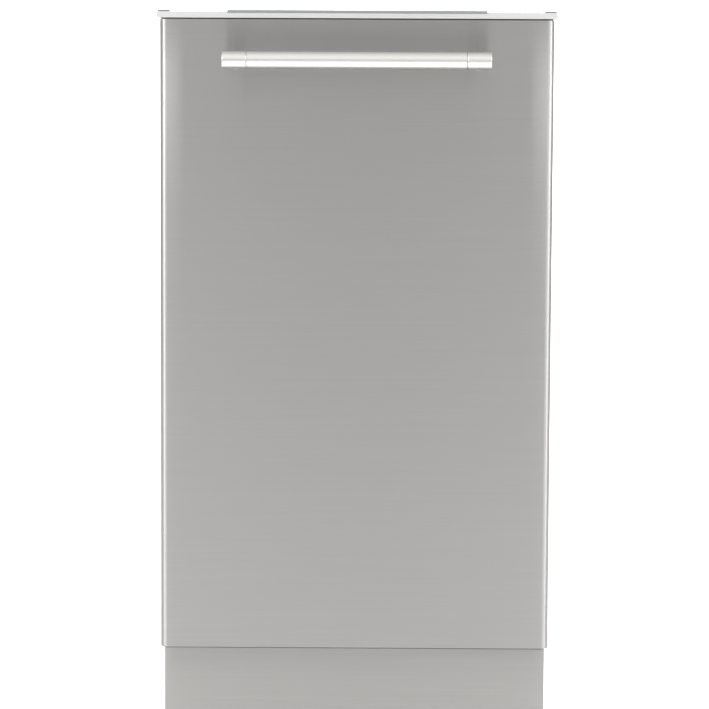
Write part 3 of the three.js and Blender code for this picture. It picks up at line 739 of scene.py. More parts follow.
@dataclass(frozen=True)
class GlossPanel(Moulded):
    """A polished plastic panel under a clear hard coat."""

    def dress(self, tree: NodeTree, shader: Node) -> None:
        """Adds the hard coat."""
        shader.inputs["Coat Weight"].default_value = 0.6
        shader.inputs["Coat Roughness"].default_value = 0.06


@dataclass(frozen=True)
class CoatedWire(Moulded):
    """Steel wire dipped in nylon: a thick soft skin with a slight orange peel."""

    grain: float = 2.5 * MM
    depth: float = 0.00012

    def dress(self, tree: NodeTree, shader: Node) -> None:
        """Lets a little light into the nylon's surface sheen."""
        shader.inputs["Coat Weight"].default_value = 0.25
        shader.inputs["Coat Roughness"].default_value = 0.25


@dataclass(frozen=True)
class SoftRubber(Moulded):
    """Extruded rubber: dark and matt, with a dusty sheen at its edges."""

    grain: float = 1.4 * MM
    depth: float = 0.0001

    def dress(self, tree: NodeTree, shader: Node) -> None:
        """Adds the dusty sheen."""
        shader.inputs["Sheen Weight"].default_value = 0.3
        shader.inputs["Sheen Roughness"].default_value = 0.5


@dataclass(frozen=True)
class SoundMat(Moulded):
    """Bitumen sheet: nearly black, matt, and pebbled where it was pressed on warm."""

    grain: float = 4 * MM
    depth: float = 0.0006

    def relief(self) -> tuple[float, float]:
        """A coarse pebbled face."""
        return 0.6, self.depth


@dataclass(frozen=True)
class Perforated(Finish):
    """Stainless sheet with rows of small round holes, which are painted near black: painted shade of the dark space
    seen through them.

    Args:
        pitch: the distance between holes.
        hole: a hole's radius as a share of the pitch.
    """

    metallic: float = 1.0
    pitch: float = 3.2 * MM
    hole: float = 0.3

    def pattern(self, tree: NodeTree, place: NodeSocket) -> NodeSocket:
        """1 on the sheet and 0 in a hole, on a square grid; a hole takes the near-black second colour, painted shade.
        """
        flat = add_node(tree, "Mapping", {"Vector": place, "Scale": (1.0, 1.0, 0.0)})
        grid = add_node(
            tree, "TexVoronoi", {"Vector": flat.outputs[0], "Scale": 1 / self.pitch, "Randomness": 0.0}
        )
        edge = add_node(
            tree,
            "MapRange",
            {"Value": grid.outputs["Distance"], "From Min": self.hole + 0.06, "From Max": self.hole},
        )
        return edge.outputs[0]

    def relief(self) -> tuple[float, float]:
        """Holes sink below the sheet."""
        return -0.6, 0.0005


class Palette:
    """The finishes of this dishwasher."""

    DOOR_STEEL = BrushedSteel("door_steel_brushed", "#9c9b9a", "#969594", 0.365, 0.02)
    # A lighter copy of the door's brushed steel: painted light that offsets the shade which the door casts on the
    # recessed kick plate.
    KICK_STEEL_LIGHTENED = BrushedSteel("kick_steel_brushed_lightened", "#a5a4a2", "#9f9e9c", 0.4, 0.02)
    HANDLE_STEEL = BrushedSteel(
        "handle_steel_brushed",
        "#cbcac7",
        "#c3c2bf",
        0.34,
        0.02,
        line=0.6 * MM,
        length=60 * MM,
        smear=0.0,
        turned=True,
    )
    TUB_STEEL = RolledSteel("tub_steel_rolled", "#bcbdbe", "#b0b1b3", 0.24, 0.04)
    ZINC = ZincCoat("frame_steel_zinc_coated", "#a4a8aa", "#8e9294", 0.42, 0.06)
    SPRING = ZincCoat("spring_wire_oiled", "#77797b", "#66686a", 0.32, 0.05, crystal=1.5 * MM)
    # The near-black second colour is painted shade in the filter's holes.
    FILTER = Perforated("filter_steel_perforated", "#b4b6b8", "#1c1d1e", 0.3, 0.05)
    CAP = Moulded("cap_abs_satin", "#a6a6a6", "#9e9e9e", 0.42, 0.04)
    STRIP = GlossPanel("control_strip_polished", "#7f8183", "#777a7c", 0.16, 0.04, depth=0.00001)
    BUTTON = Moulded("button_abs_satin", "#26272a", "#1f2022", 0.38, 0.04)
    LENS = GlossPanel("indicator_lens", "#c9d3d6", "#b8c2c6", 0.12, 0.03, depth=0.00001)
    DARK = Moulded("base_polypropylene_dark", "#37393c", "#2f3134", 0.52, 0.06)
    GREY = Moulded("spray_polypropylene_grey", "#878c90", "#7c8185", 0.46, 0.05)
    WHITE = Moulded("valve_polypropylene_white", "#d3d6d7", "#c6cacc", 0.45, 0.05)
    RACK = CoatedWire("rack_wire_nylon_coated", "#9ba1a6", "#8f959a", 0.38, 0.05)
    RUBBER = SoftRubber("door_seal_rubber", "#303133", "#28292b", 0.72, 0.08)
    MAT = SoundMat("sound_mat_bitumen", "#1d1d1e", "#2a2a2b", 0.82, 0.08)
    FELT = SoundMat("door_felt", "#5c5954", "#4b4844", 0.95, 0.03, grain=1.5 * MM)


def place(piece: Object, finish: Finish, body: str, slot: str, replaces: Sequence[str] = ()) -> Object:
    """Gives a finished piece its material and body.

    Args:
        piece: the piece.
        finish: its finish.
        body: the body it rides on.
        slot: not used.
        replaces: the nodes that it stands for.

    Returns:
        The same piece.
    """
    modify(piece, "WEIGHTED_NORMAL", keep_sharp=True)
    piece.data.materials.clear()
    piece.data.materials.append(finish.build())
    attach(piece, body)
    if replaces:
        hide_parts(*replaces)
    log.info("%s: %s on %s, %d faces", piece.name, finish.name, body, len(piece.data.polygons))
    return piece


# ---------------------------------------------------------------- door
@dataclass
class DoorPanel:
    """The steel skin of the door: a folded pan whose face eases back towards its round upright edges.

    Args:
        edge_radius: radius of the upright edges.
        fold_radius: radius of the top and bottom folds.
        thickness: the sheet's thickness.
        ease: how wide the strip is, beside each round edge, over which the face eases back.
        ease_steps: how many facets that strip has.
        ease_slope: how steep the face is where the round edge begins, where it is steepest.
        ease_share: that slope's share at each distance below the panel's top, because the folds hold it straight.
        pad_half: half the width of the felt pad inside.
        pad_thickness: the pad's thickness.
        trim_depth: how far the bottom trim reaches back.
        trim_drop: how far it stands below the skin.
    """

    edge_radius: float = 8 * MM
    fold_radius: float = 1.2 * MM
    thickness: float = 1.2 * MM
    ease: float = 20 * MM
    ease_steps: int = 6
    ease_slope: float = 0.15
    ease_share: tuple[tuple[float, float], ...] = (
        (0.0, 0.1),
        (12 * MM, 0.2),
        (30 * MM, 0.6),
        (48 * MM, 0.9),
        (70 * MM, 1.0),
        (95 * MM, 1.0),
        (125 * MM, 0.85),
        (160 * MM, 0.55),
        (205 * MM, 0.35),
        (320 * MM, 0.12),
        (640 * MM, 0.05),
        (720 * MM, 0.05),
    )
    pad_half: float = 190 * MM
    pad_thickness: float = 9 * MM
    trim_depth: float = 14 * MM
    trim_drop: float = 1.1 * MM

    def ease_back(self, pan: Object, room: Room) -> None:
        """Bends the strips beside the round edges back along a parabola, and the edges with them.

        Args:
            pan: the pan, its face still flat.
            room: the pan's room.
        """
        limit = room.high.x - self.edge_radius
        starts = limit - self.ease
        planes = [((0, 0, room.high.z - drop), (0, 0, 1)) for drop, _ in self.ease_share[1:-1]]
        for x in evenly(self.ease_steps + 1, starts, limit):
            planes += [((x, 0, 0), (1, 0, 0)), ((-x, 0, 0), (1, 0, 0))]
        for point, normal in planes:
            edit_where(pan, "FACE", lambda normal, middle: True)
            bpy.ops.mesh.bisect(plane_co=point, plane_no=normal)
            close_edit()
        for vertex in pan.data.vertices:
            reach = min(abs(vertex.co.x), limit) - starts
            depth = (vertex.co.y - room.low.y) / self.edge_radius
            if reach > 0 and depth < 1:
                slope = self.ease_slope * self.share_at(room.high.z - vertex.co.z)
                drop = slope * reach**2 / (2 * self.ease) + slope * max(0.0, abs(vertex.co.x) - limit)
                vertex.co.y += drop * (1 - depth)

    def share_at(self, drop: float) -> float:
        """The slope's share at a distance below the panel's top."""
        for (above, first), (below, last) in zip(self.ease_share, self.ease_share[1:]):
            if drop <= below:
                return first + (last - first) * (drop - above) / (below - above)
        return self.ease_share[-1][1]

    def build(self) -> None:
        """Folds the pan and hangs it on the door."""
        room = Room.of("door_panel")
        pan = block("door_skin", room.low, room.high)
        round_edges(pan, runs_at(Axis.Z, room.low.y), self.edge_radius, 12)
        round_edges(pan, runs_at(Axis.X, room.low.y), self.fold_radius, 4)
        drop_faces(pan, lambda normal, middle: normal.y > 0.99)
        self.ease_back(pan, room)
        modify(pan, "SOLIDIFY", thickness=self.thickness, offset=-1.0, use_even_offset=True)
        smooth(pan, 30)
        place(pan, Palette.DOOR_STEEL, "door", "brushed_steel", ["door_panel"])
        self.build_pad(room)
        self.build_trim(room)

    def build_trim(self, room: Room) -> None:
        """A dark rubber trim pushed on under the skin's bottom fold."""
        reach = room.high.x - 3 * MM
        low = (-reach, room.low.y + 0.7 * MM, room.low.z - self.trim_drop)
        trim = block("door_bottom_trim", low, (reach, low[1] + self.trim_depth, room.low.z + 0.3 * MM))
        round_edges(trim, runs_at(Axis.Z, low[1]), 6 * MM, 6)
        soften(trim, 0.4 * MM, 3)
        place(trim, Palette.RUBBER, "door", "seal_rubber")

    def build_pad(self, room: Room) -> None:
        """A felt pad glued to the skin's inside."""
        low = (-self.pad_half, room.low.y + 2.5 * MM, room.low.z + 30 * MM)
        pad = block("door_felt_pad", low, (self.pad_half, low[1] + self.pad_thickness, room.high.z - 60 * MM))
        round_edges(pad, runs_along(Axis.Y), 12 * MM, 6)
        soften(pad, 2 * MM, 3)
        place(pad, Palette.FELT, "door", "sound_pad")


@dataclass
class DoorEdge:
    """The cap along the door's top edge, with the console under it and the control strip in it.

    Args:
        cap_height: the cap's height.
        cap_radius: radius of the cap's ends.
        strip_radius: radius of the strip's rear corners.
        strip_gap: the gap round the strip.
        lens_radius: radius of one indicator lens.
        lens_gap: distance between two lenses.
        lenses: how many lenses stand between the buttons.
        console_inset: how far the console stays inside the panel's sides.
        console_setback: how far it stays behind the panel's face.
        console_radius: radius of its front corners.
        button_space: the gap round a button in its well.
        well_depth: how deep a button's well goes.
        well_radius: radius of the well's corners.
        lens_start: from the last middle button to the first lens.
        buttons: the buttons' nodes, from the left.
    """

    cap_height: float = 7 * MM
    cap_radius: float = 2.5 * MM
    strip_radius: float = 3 * MM
    strip_gap: float = 0.3 * MM
    lens_radius: float = 1.2 * MM
    lens_gap: float = 9 * MM
    lenses: int = 5
    console_inset: float = 1.5 * MM
    console_setback: float = 3 * MM
    console_radius: float = 7 * MM
    button_space: float = 0.5 * MM
    well_depth: float = 3 * MM
    well_radius: float = 2.5 * MM
    lens_start: float = 22 * MM
    buttons: tuple[str, ...] = ("power_button", "program_button", "option_button", "start_button")

    def well(self, button: str, low: float, high: float) -> Object:
        """A cutter with the outline of a button's well.

        Args:
            button: the button's node.
            low: the cutter's lower end.
            high: its upper end.

        Returns:
            The cutter.
        """
        room = Room.of(button)
        spare = Vector((self.button_space, self.button_space, 0))
        low_corner, high_corner = room.low - spare, room.high + spare
        tool = block("well_tool", (*low_corner[:2], low), (*high_corner[:2], high))
        return round_edges(tool, runs_along(Axis.Z), self.well_radius, 6)

    def build(self) -> None:
        """Makes the cap, the console, the strip, the buttons and the lenses."""
        whole = Room.of("control_console")
        strip = Room.of("control_strip")
        cap_bottom = whole.high.z - self.cap_height
        cap = block("door_cap", (whole.low.x, whole.low.y, cap_bottom), whole.high)
        round_edges(cap, runs_along(Axis.Y), self.cap_radius, 6)
        gap = self.strip_gap
        recess_low = (strip.low.x - gap, whole.low.y - 1 * MM, strip.low.z - gap)
        cut(cap, block("recess", recess_low, strip.high + Vector((gap, gap, gap))))
        for button in self.buttons:
            cut(cap, self.well(button, whole.high.z - self.well_depth, whole.high.z + 5 * MM))
        soften(cap, 0.6 * MM, 3)
        place(cap, Palette.CAP, "door", "cap_plastic", ["control_console"])
        panel = Room.of("door_panel")
        body_low = (panel.low.x + self.console_inset, panel.low.y + self.console_setback, whole.low.z)
        body = block("console_body", body_low, (-body_low[0], panel.high.y, cap_bottom))
        round_edges(body, runs_at(Axis.Z, body_low[1]), self.console_radius, 6)
        soften(body, 0.6 * MM, 2, 50)
        place(body, Palette.DARK, "door", "dark_plastic")

        plate = block("control_strip_plate", strip.low, strip.high)
        round_edges(plate, runs_at(Axis.Z, strip.high.y), self.strip_radius, 6)
        for button in self.buttons:
            cut(plate, self.well(button, strip.low.z - 1 * MM, strip.high.z + 1 * MM))
        soften(plate, 0.35 * MM, 3)
        place(plate, Palette.STRIP, "door", "strip_plastic", ["control_strip"])
        for button in self.buttons:
            self.build_button(button)
        self.build_lenses(strip)

    def build_button(self, name: str) -> None:
        """A button with a shallow dished top."""
        room = Room.of(name)
        cap = block(f"{name}_cap", room.low, room.high)
        round_edges(cap, runs_along(Axis.Z), 2 * MM, 6)
        edit_where(cap, "FACE", lambda normal, middle: normal.z > 0.9)
        bpy.ops.mesh.inset(thickness=1.2 * MM)
        bpy.ops.transform.translate(value=(0, 0, -0.3 * MM))
        close_edit()
        soften(cap, 0.3 * MM, 3, 15)
        place(cap, Palette.BUTTON, name, "button_plastic", [name])

    def build_lenses(self, strip: Room) -> None:
        """A row of indicator lenses between the middle and the start button."""
        first = Room.of("option_button").high.x + self.lens_start
        top = strip.high.z
        foot = (first, strip.middle.y, top - 1 * MM)
        lens = rod("lens", foot, (first, strip.middle.y, top + 0.05 * MM), self.lens_radius, 24)
        row = [lens] + [moved_copy(lens, (self.lens_gap * i, 0, 0)) for i in range(1, self.lenses)]
        lamps = joined("indicator_lenses", row)
        smooth(lamps)
        place(lamps, Palette.LENS, "door", "strip_plastic")


@dataclass
class Handle:
    """The round bar handle: a bar between two sleeves, each on a leg.

    Args:
        chamfer: the bevel at the sleeves' outer ends.
        seam: the groove between a sleeve and the bar.
        collar: how much wider a leg's foot is than the leg.
        leg_radius: radius of a leg.
    """

    chamfer: float = 0.9 * MM
    seam: float = 0.1 * MM
    collar: float = 1.5 * MM
    leg_radius: float = 8 * MM

    def build(self) -> None:
        """Turns the bar and both posts."""
        bar = Room.of("handle_bar")
        axis = Vector((0, bar.middle.y, bar.middle.z))
        radius = bar.size.z / 2
        half = bar.high.x + 0.05 * MM
        tube = rod("handle_tube", axis - Vector((half, 0, 0)), axis + Vector((half, 0, 0)), radius, 96)
        soften(tube, self.seam, 3)
        place(tube, Palette.HANDLE_STEEL, "door", "brushed_steel", ["handle_bar"])
        for side in Side:
            self.build_post(side, axis, radius)

    def build_post(self, side: Side, axis: Vector, radius: float) -> None:
        """A sleeve on a leg with a small collar at the door.

        Args:
            side: which end of the handle.
            axis: a point on the bar's axis.
            radius: the bar's radius.
        """
        node = f"handle_post_{side.word}"
        post = Room.of(node)
        inner, outer = sorted((post.low.x, post.high.x), key=abs)
        sleeve = rod("sleeve", (inner, axis.y, axis.z), (outer, axis.y, axis.z), radius, 96)
        soften(sleeve, self.chamfer, 3)
        leg_x = (inner + outer) / 2
        leg = rod("leg", (leg_x, axis.y, axis.z), (leg_x, post.high.y, axis.z), self.leg_radius, 64)
        foot = (leg_x, post.high.y - 2 * MM, axis.z)
        collar = rod("collar", foot, (leg_x, post.high.y, axis.z), self.leg_radius + self.collar, 64)
        soften(collar, 0.4 * MM, 3)
        smooth(leg)
        whole = joined(f"{node}_turned", [sleeve, leg, collar])
        place(whole, Palette.HANDLE_STEEL, "door", "brushed_steel", [node])


@dataclass
class DoorInside:
    """What the door carries inside: liner, hinge arms, dispenser and catch.

    Args:
        screw_radius: radius of a liner screw's head.
        slot_half: half the length of the cross cut in it.
        screws: how many screws each side of the liner has.
        screw_inset: from a screw to the liner's side.
        screw_end: from the first and last screw to the liner's ends.
    """

    screw_radius: float = 4 * MM
    slot_half: float = 2.6 * MM
    screws: int = 5
    screw_inset: float = 8 * MM
    screw_end: float = 40 * MM

    def build(self) -> None:
        """Finishes the door's inner pieces."""
        place(refined("door_liner", 0.8 * MM, 3), Palette.TUB_STEEL, "door", "tub_steel")
        place(refined("dispenser_body", 1 * MM, 3, merge=False), Palette.WHITE, "door", "white_plastic")
        place(refined("dispenser_lid", 0.9 * MM, 3), Palette.GREY, "dispenser_lid", "grey_plastic")
        place(refined("rinse_aid_cap", 0.8 * MM, 3), Palette.DARK, "rinse_aid_cap", "dark_plastic")
        place(refined("latch_pawl", 0.4 * MM), Palette.DARK, "latch_pawl", "dark_plastic")
        for side in Side:
            arm = refined(f"hinge_arm_{side.word}", 0.4 * MM)
            place(arm, Palette.ZINC, "door", "galvanised_steel")
        self.build_screws()

    def build_screws(self) -> None:
        """Round-headed screws down both rims of the liner."""
        liner = Room.of("door_liner")
        face = liner.high.y
        x = liner.high.x - self.screw_inset
        heads = []
        for z in evenly(self.screws, liner.low.z + self.screw_end, liner.high.z - self.screw_end):
            head = rod("head", (x, face - 1 * MM, z), (x, face + 1.6 * MM, z), self.screw_radius, 24)
            for name, wide, tall in (("slot", self.slot_half, 0.5 * MM), ("cross", 0.5 * MM, self.slot_half)):
                low = (x - wide, face + 1 * MM, z - tall)
                cut(head, block(name, low, (x + wide, face + 3 * MM, z + tall)))
            soften(head, 0.4 * MM)
            heads += [head, mirrored_copy(head)]
        place(joined("liner_screws", heads), Palette.ZINC, "door", "galvanised_steel")


# ---------------------------------------------------------------- racks
@dataclass
class WireRack:
    """A rack of nylon-coated wire: U-shaped wires both ways, hoops, and rows of tines.

    Args:
        node: the rack's node.
        body: its body.
        across: how many wires run from side to side.
        along: how many run from front to back.
        tine_rows: x and height of each fixed row of tines.
        more_nodes: other nodes that the same wires stand for.
        wire_radius: radius of the U-shaped wires.
        rim_radius: radius of the hoops.
        bend: how far from a corner a wire's bend begins.
        tine_pitch: the distance between tines.
        tine_half: half the width of one hairpin tine.
        tine_bend: how far from its corners its bends begin.
        row_end: from the ends of a row of tines to the basket's front and back.
        rail_end: how far a row's rail runs on past its tines.
        hoop_bend: how far from a corner a hoop's bend begins.
        first_across: from the basket's front and back to the first wires across.
        first_along: from its sides to the first wires along.
    """

    node: str
    body: str
    across: int
    along: int
    tine_rows: list[tuple[float, float]] = field(default_factory=list)
    more_nodes: tuple[str, ...] = ()
    wire_radius: float = 1.6 * MM
    rim_radius: float = 2.4 * MM
    bend: float = 14 * MM
    tine_pitch: float = 24 * MM
    tine_half: float = 3.2 * MM
    tine_bend: float = 3.1 * MM
    row_end: float = 55 * MM
    rail_end: float = 8 * MM
    hoop_bend: float = 24 * MM
    first_across: float = 12 * MM
    first_along: float = 14 * MM

    def basket(self, low: Vector, high: Vector) -> list[Object]:
        """The basket's wires.

        Args:
            low: the basket's lowest corner.
            high: its highest corner.

        Returns:
            The wires.
        """
        inset = self.rim_radius + self.wire_radius
        floor = low.z + self.wire_radius
        top = high.z - 2 * self.rim_radius
        x0, x1 = low.x + inset + 1 * MM, high.x - inset - 1 * MM
        y0, y1 = low.y + inset + 1 * MM, high.y - inset - 1 * MM
        wires = []
        for y in evenly(self.across, y0 + self.first_across, y1 - self.first_across):
            path = [(x0, y, top), (x0, y, floor), (x1, y, floor), (x1, y, top)]
            wires.append(wire("across", path, self.wire_radius, self.bend))
        floor += 2 * self.wire_radius
        for x in evenly(self.along, x0 + self.first_along, x1 - self.first_along):
            path = [(x, y0, top), (x, y0, floor), (x, y1, floor), (x, y1, top)]
            wires.append(wire("along", path, self.wire_radius, self.bend))
        height = high.z - low.z
        for share, radius in ((0.0, self.rim_radius), (0.5, self.wire_radius)):
            z = high.z - self.rim_radius - height * share
            out = radius
            ring = [
                (low.x + out, low.y + out, z),
                (high.x - out, low.y + out, z),
                (high.x - out, high.y - out, z),
                (low.x + out, high.y - out, z),
            ]
            wires.append(wire("hoop", ring, radius, self.hoop_bend, closed=True))
        return wires

    def tines(self, x: float, floor: float, tall: float, y0: float, y1: float) -> list[Object]:
        """A row of hairpin tines on a rail.

        Args:
            x: the row's place.
            floor: the rail's height.
            tall: the tines' height.
            y0: the front of the row.
            y1: its back.

        Returns:
            The rail and the tines.
        """
        count = int((y1 - y0) / self.tine_pitch)
        ends = [(x, y0 - self.rail_end, floor), (x, y1 + self.rail_end, floor)]
        pieces = [wire("rail", ends, self.wire_radius)]
        half = self.tine_half
        for y in evenly(count, y0, y1):
            top = floor + tall
            path = [(x, y - half, floor), (x, y - half, top), (x, y + half, top), (x, y + half, floor)]
            pieces.append(wire("tine", path, self.wire_radius, self.tine_bend))
        return pieces

    def build(self) -> None:
        """Bends, welds and coats the rack."""
        low, high = self.extent()
        wires = self.basket(low, high)
        for x, tall in self.tine_rows:
            front, back = low.y + self.row_end, high.y - self.row_end
            wires += self.tines(x, low.z + 3 * self.wire_radius, tall, front, back)
        wires += self.fittings()
        rack = joined(f"{self.node}_wires", wires)
        place(rack, Palette.RACK, self.body, "coated_wire", [self.node, *self.more_nodes])

    def extent(self) -> tuple[Vector, Vector]:
        """The corners of the basket itself, without what stands out at its sides."""
        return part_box(self.node)

    def fittings(self) -> list[Object]:
        """What is welded to the basket."""
        return []


@dataclass
class LowerRack(WireRack):
    """The lower rack, on four wheels, with folding tines and a cutlery basket.

    Args:
        half_width: half the basket's width.
        basket_height: the basket's height above its floor wires.
        folding_height: the height of the folding tines above their rail.
        wheel_rim: the width of a wheel's rim.
        wheel_dish: how far its web lies below the rim.
        wheel_web: the width of the web, between rim and hub.
        wheel_hub: how far the hub stands above the web.
        wheel_bore: radius of the hole for the axle.
    """

    half_width: float = 184 * MM
    basket_height: float = 125 * MM
    folding_height: float = 62 * MM
    wheel_rim: float = 3.5 * MM
    wheel_dish: float = 1.8 * MM
    wheel_web: float = 7 * MM
    wheel_hub: float = 1.5 * MM
    wheel_bore: float = 4.3 * MM

    def extent(self) -> tuple[Vector, Vector]:
        """The basket stands above its wheel carriers and between them."""
        low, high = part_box(self.node)
        floor = high.z - self.basket_height
        return Vector((-self.half_width, low.y, floor)), Vector((self.half_width, high.y, high.z))

    def fittings(self) -> list[Object]:
        """The wheels' carriers: a plate and a stub axle each."""
        pieces = []
        low, _ = self.extent()
        for row in ("front", "rear"):
            wheel = Room.of(f"{row}_wheel_right")
            y, z = wheel.middle.y, wheel.middle.z
            plate = block(
                "carrier",
                (self.half_width - 1 * MM, y - 11 * MM, z - 8 * MM),
                (self.half_width + 3.5 * MM, y + 11 * MM, low.z + 14 * MM),
            )
            round_edges(plate, runs_along(Axis.X), 5 * MM, 5)
            soften(plate, 0.8 * MM)
            axle = rod("axle", (self.half_width, y, z), (wheel.high.x - 1 * MM, y, z), 4 * MM, 24)
            soften(axle, 0.5 * MM)
            pieces += [plate, axle, mirrored_copy(plate), mirrored_copy(axle)]
        return pieces

    def build(self) -> None:
        """Makes the rack and what it carries."""
        super().build()
        folding = Room.of("folding_tines")
        rail = folding.low.z + 2 * MM
        front, back = folding.low.y + 10 * MM, folding.high.y - 10 * MM
        row = self.tines(folding.middle.x, rail, self.folding_height - self.wire_radius, front, back)
        place(joined("folding_tine_row", row), Palette.RACK, "folding_tines", "coated_wire", ["folding_tines"])
        for side in Side:
            for end in ("front", "rear"):
                self.build_wheel(f"{end}_wheel_{side.word}")
        CutleryBasket().build()

    def build_wheel(self, node: str) -> None:
        """A wheel with a rim, a web and a hub on each face."""
        room = Room.of(node)
        centre, radius = room.middle, room.size.z / 2
        half = Vector((room.size.x / 2, 0, 0))
        wheel = rod(f"{node}_turned", centre - half, centre + half, radius, 48)
        edit_where(wheel, "FACE", lambda normal, middle: abs(normal.x) > 0.9)
        bpy.ops.mesh.inset(thickness=self.wheel_rim)
        close_edit()
        for sign in (-1, 1):

            def web(normal: Vector, middle: Vector, sign: int = sign) -> bool:
                return normal.x * sign > 0.9 and self.near(middle, centre, 1 * MM)

            edit_where(wheel, "FACE", web)
            bpy.ops.transform.translate(value=(-sign * self.wheel_dish, 0, 0))
            bpy.ops.mesh.inset(thickness=self.wheel_web)
            bpy.ops.transform.translate(value=(sign * self.wheel_hub, 0, 0))
            close_edit()
        bore = rod("bore", centre - 2 * half, centre + 2 * half, self.wheel_bore, 24)
        cut(wheel, bore)
        soften(wheel, 0.5 * MM)
        place(wheel, Palette.GREY, node, "grey_plastic", [node])

    @staticmethod
    def near(middle: Vector, centre: Vector, reach: float) -> bool:
        """Whether a face's middle lies on a wheel's axis."""
        return math.hypot(middle.y - centre.y, middle.z - centre.z) < reach


@dataclass
class CutleryBasket:
    """The cutlery basket: slotted walls in a frame, a floor grid, a divider and an arched handle.

    Args:
        wall: the walls' thickness.
        band: the height of the solid bands at top and bottom.
        bar: the width of one upright bar.
        pitch: the distance between bars.
        hole_pitch: the distance between holes in the floor.
        grip: how far the handle's arch rises above the walls.
    """

    wall: float = 2 * MM
    band: float = 9 * MM
    bar: float = 3 * MM
    pitch: float = 8.5 * MM
    hole_pitch: float = 8.2 * MM
    grip: float = 28 * MM

    def slotted_wall(self, low: Vector, high: Vector, along: Axis) -> list[Object]:
        """A wall of upright bars between two bands.

        Args:
            low: the wall's lowest corner.
            high: its highest corner.
            along: the axis that the wall runs along.

        Returns:
            The wall's pieces.
        """
        length = high[along.value] - low[along.value]
        mid = low.z + (high.z - low.z) * 0.5
        pieces = [
            block("band", low, (high.x, high.y, low.z + self.band)),
            block("band", (low.x, low.y, high.z - self.band), high),
            block("band", (low.x, low.y, mid - 2 * MM), (high.x, high.y, mid + 2 * MM)),
        ]
        end = low.copy()
        end[along.value] += self.bar
        other = Axis.Y if along is Axis.X else Axis.X
        end[other.value] = high[other.value]
        bar = block("bar", low, (end.x, end.y, high.z))
        count = round((length - self.bar) / self.pitch) + 1
        return [*pieces, repeated(bar, count, along, (length - self.bar) / (count - 1))]

    def build(self) -> None:
        """Builds the basket and sets it in the lower rack."""
        room = Room.of("cutlery_basket")
        low, high = room.low, Vector((room.high.x, room.high.y, room.high.z - self.grip))
        wall = self.wall
        middle = room.middle.x
        parts: list[Object] = []
        for x in (low.x, middle - wall / 2, high.x - wall):
            parts += self.slotted_wall(Vector((x, low.y, low.z)), Vector((x + wall, high.y, high.z)), Axis.Y)
        for y in (low.y, high.y - wall):
            parts += self.slotted_wall(Vector((low.x, y, low.z)), Vector((high.x, y + wall, high.z)), Axis.X)
        floor = block("floor", low, (high.x, high.y, low.z + wall))
        first = low + Vector((5, 5, -1)) * MM
        holes = block("holes", first, first + Vector((5, 5, 10)) * MM)
        for axis, length in ((Axis.X, high.x - low.x), (Axis.Y, high.y - low.y)):
            repeated(holes, int((length - 10 * MM) / self.hole_pitch), axis, self.hole_pitch)
        cut(floor, holes)
        centre = room.middle.y
        arch = [
            (middle, centre - 42 * MM, high.z - 8 * MM),
            (middle, centre - 42 * MM, room.high.z - 3 * MM),
            (middle, centre + 42 * MM, room.high.z - 3 * MM),
            (middle, centre + 42 * MM, high.z - 8 * MM),
        ]
        parts += [floor, wire("grip", arch, 2.9 * MM, 14 * MM)]
        basket = joined("cutlery_basket_slotted", parts)
        smooth(basket)
        place(basket, Palette.GREY, "cutlery_basket", "grey_plastic", ["cutlery_basket"])


@dataclass
class UpperRack(WireRack):
    """The upper rack between its telescoping rails, with a folding cup shelf and the water pipe to its arm.

    Args:
        half_width: half the basket's width.
        runner_front: from the rack's back to the front end of a runner.
        runner_space: between a runner and its rail, above and below.
    """

    half_width: float = 180 * MM
    runner_front: float = 210 * MM
    runner_space: float = 2.3 * MM

    def extent(self) -> tuple[Vector, Vector]:
        """The basket lies between its runners."""
        low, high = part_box(self.node)
        return Vector((-self.half_width, low.y, low.z)), Vector((self.half_width, high.y, high.z))

    def fittings(self) -> list[Object]:
        """The runners that hold the rack in its inner rails."""
        rail = Room.of("rail_inner_right")
        whole = Room.of(self.node)
        low = (self.half_width - 1 * MM, whole.high.y - self.runner_front, rail.low.z + self.runner_space)
        runner = block("runner", low, (whole.high.x, whole.high.y - 10 * MM, rail.high.z - self.runner_space))
        round_edges(runner, runs_along(Axis.X), 4 * MM, 5)
        soften(runner, 0.8 * MM)
        return [runner, mirrored_copy(runner)]

    def build(self) -> None:
        """Makes the rack and what it carries."""
        super().build()
        place(refined("cup_shelf", 0.5 * MM, merge=False), Palette.GREY, "cup_shelf", "grey_plastic")
        place(refined("spray_manifold", 2 * MM, 3), Palette.GREY, "upper_rack", "grey_plastic")
        for side in Side:
            for name, body in (("rail_outer", "root"), ("rail_inner", "upper_rails")):
                rail = refined(f"{name}_{side.word}", 0.4 * MM)
                place(rail, Palette.ZINC, body, "galvanised_steel")


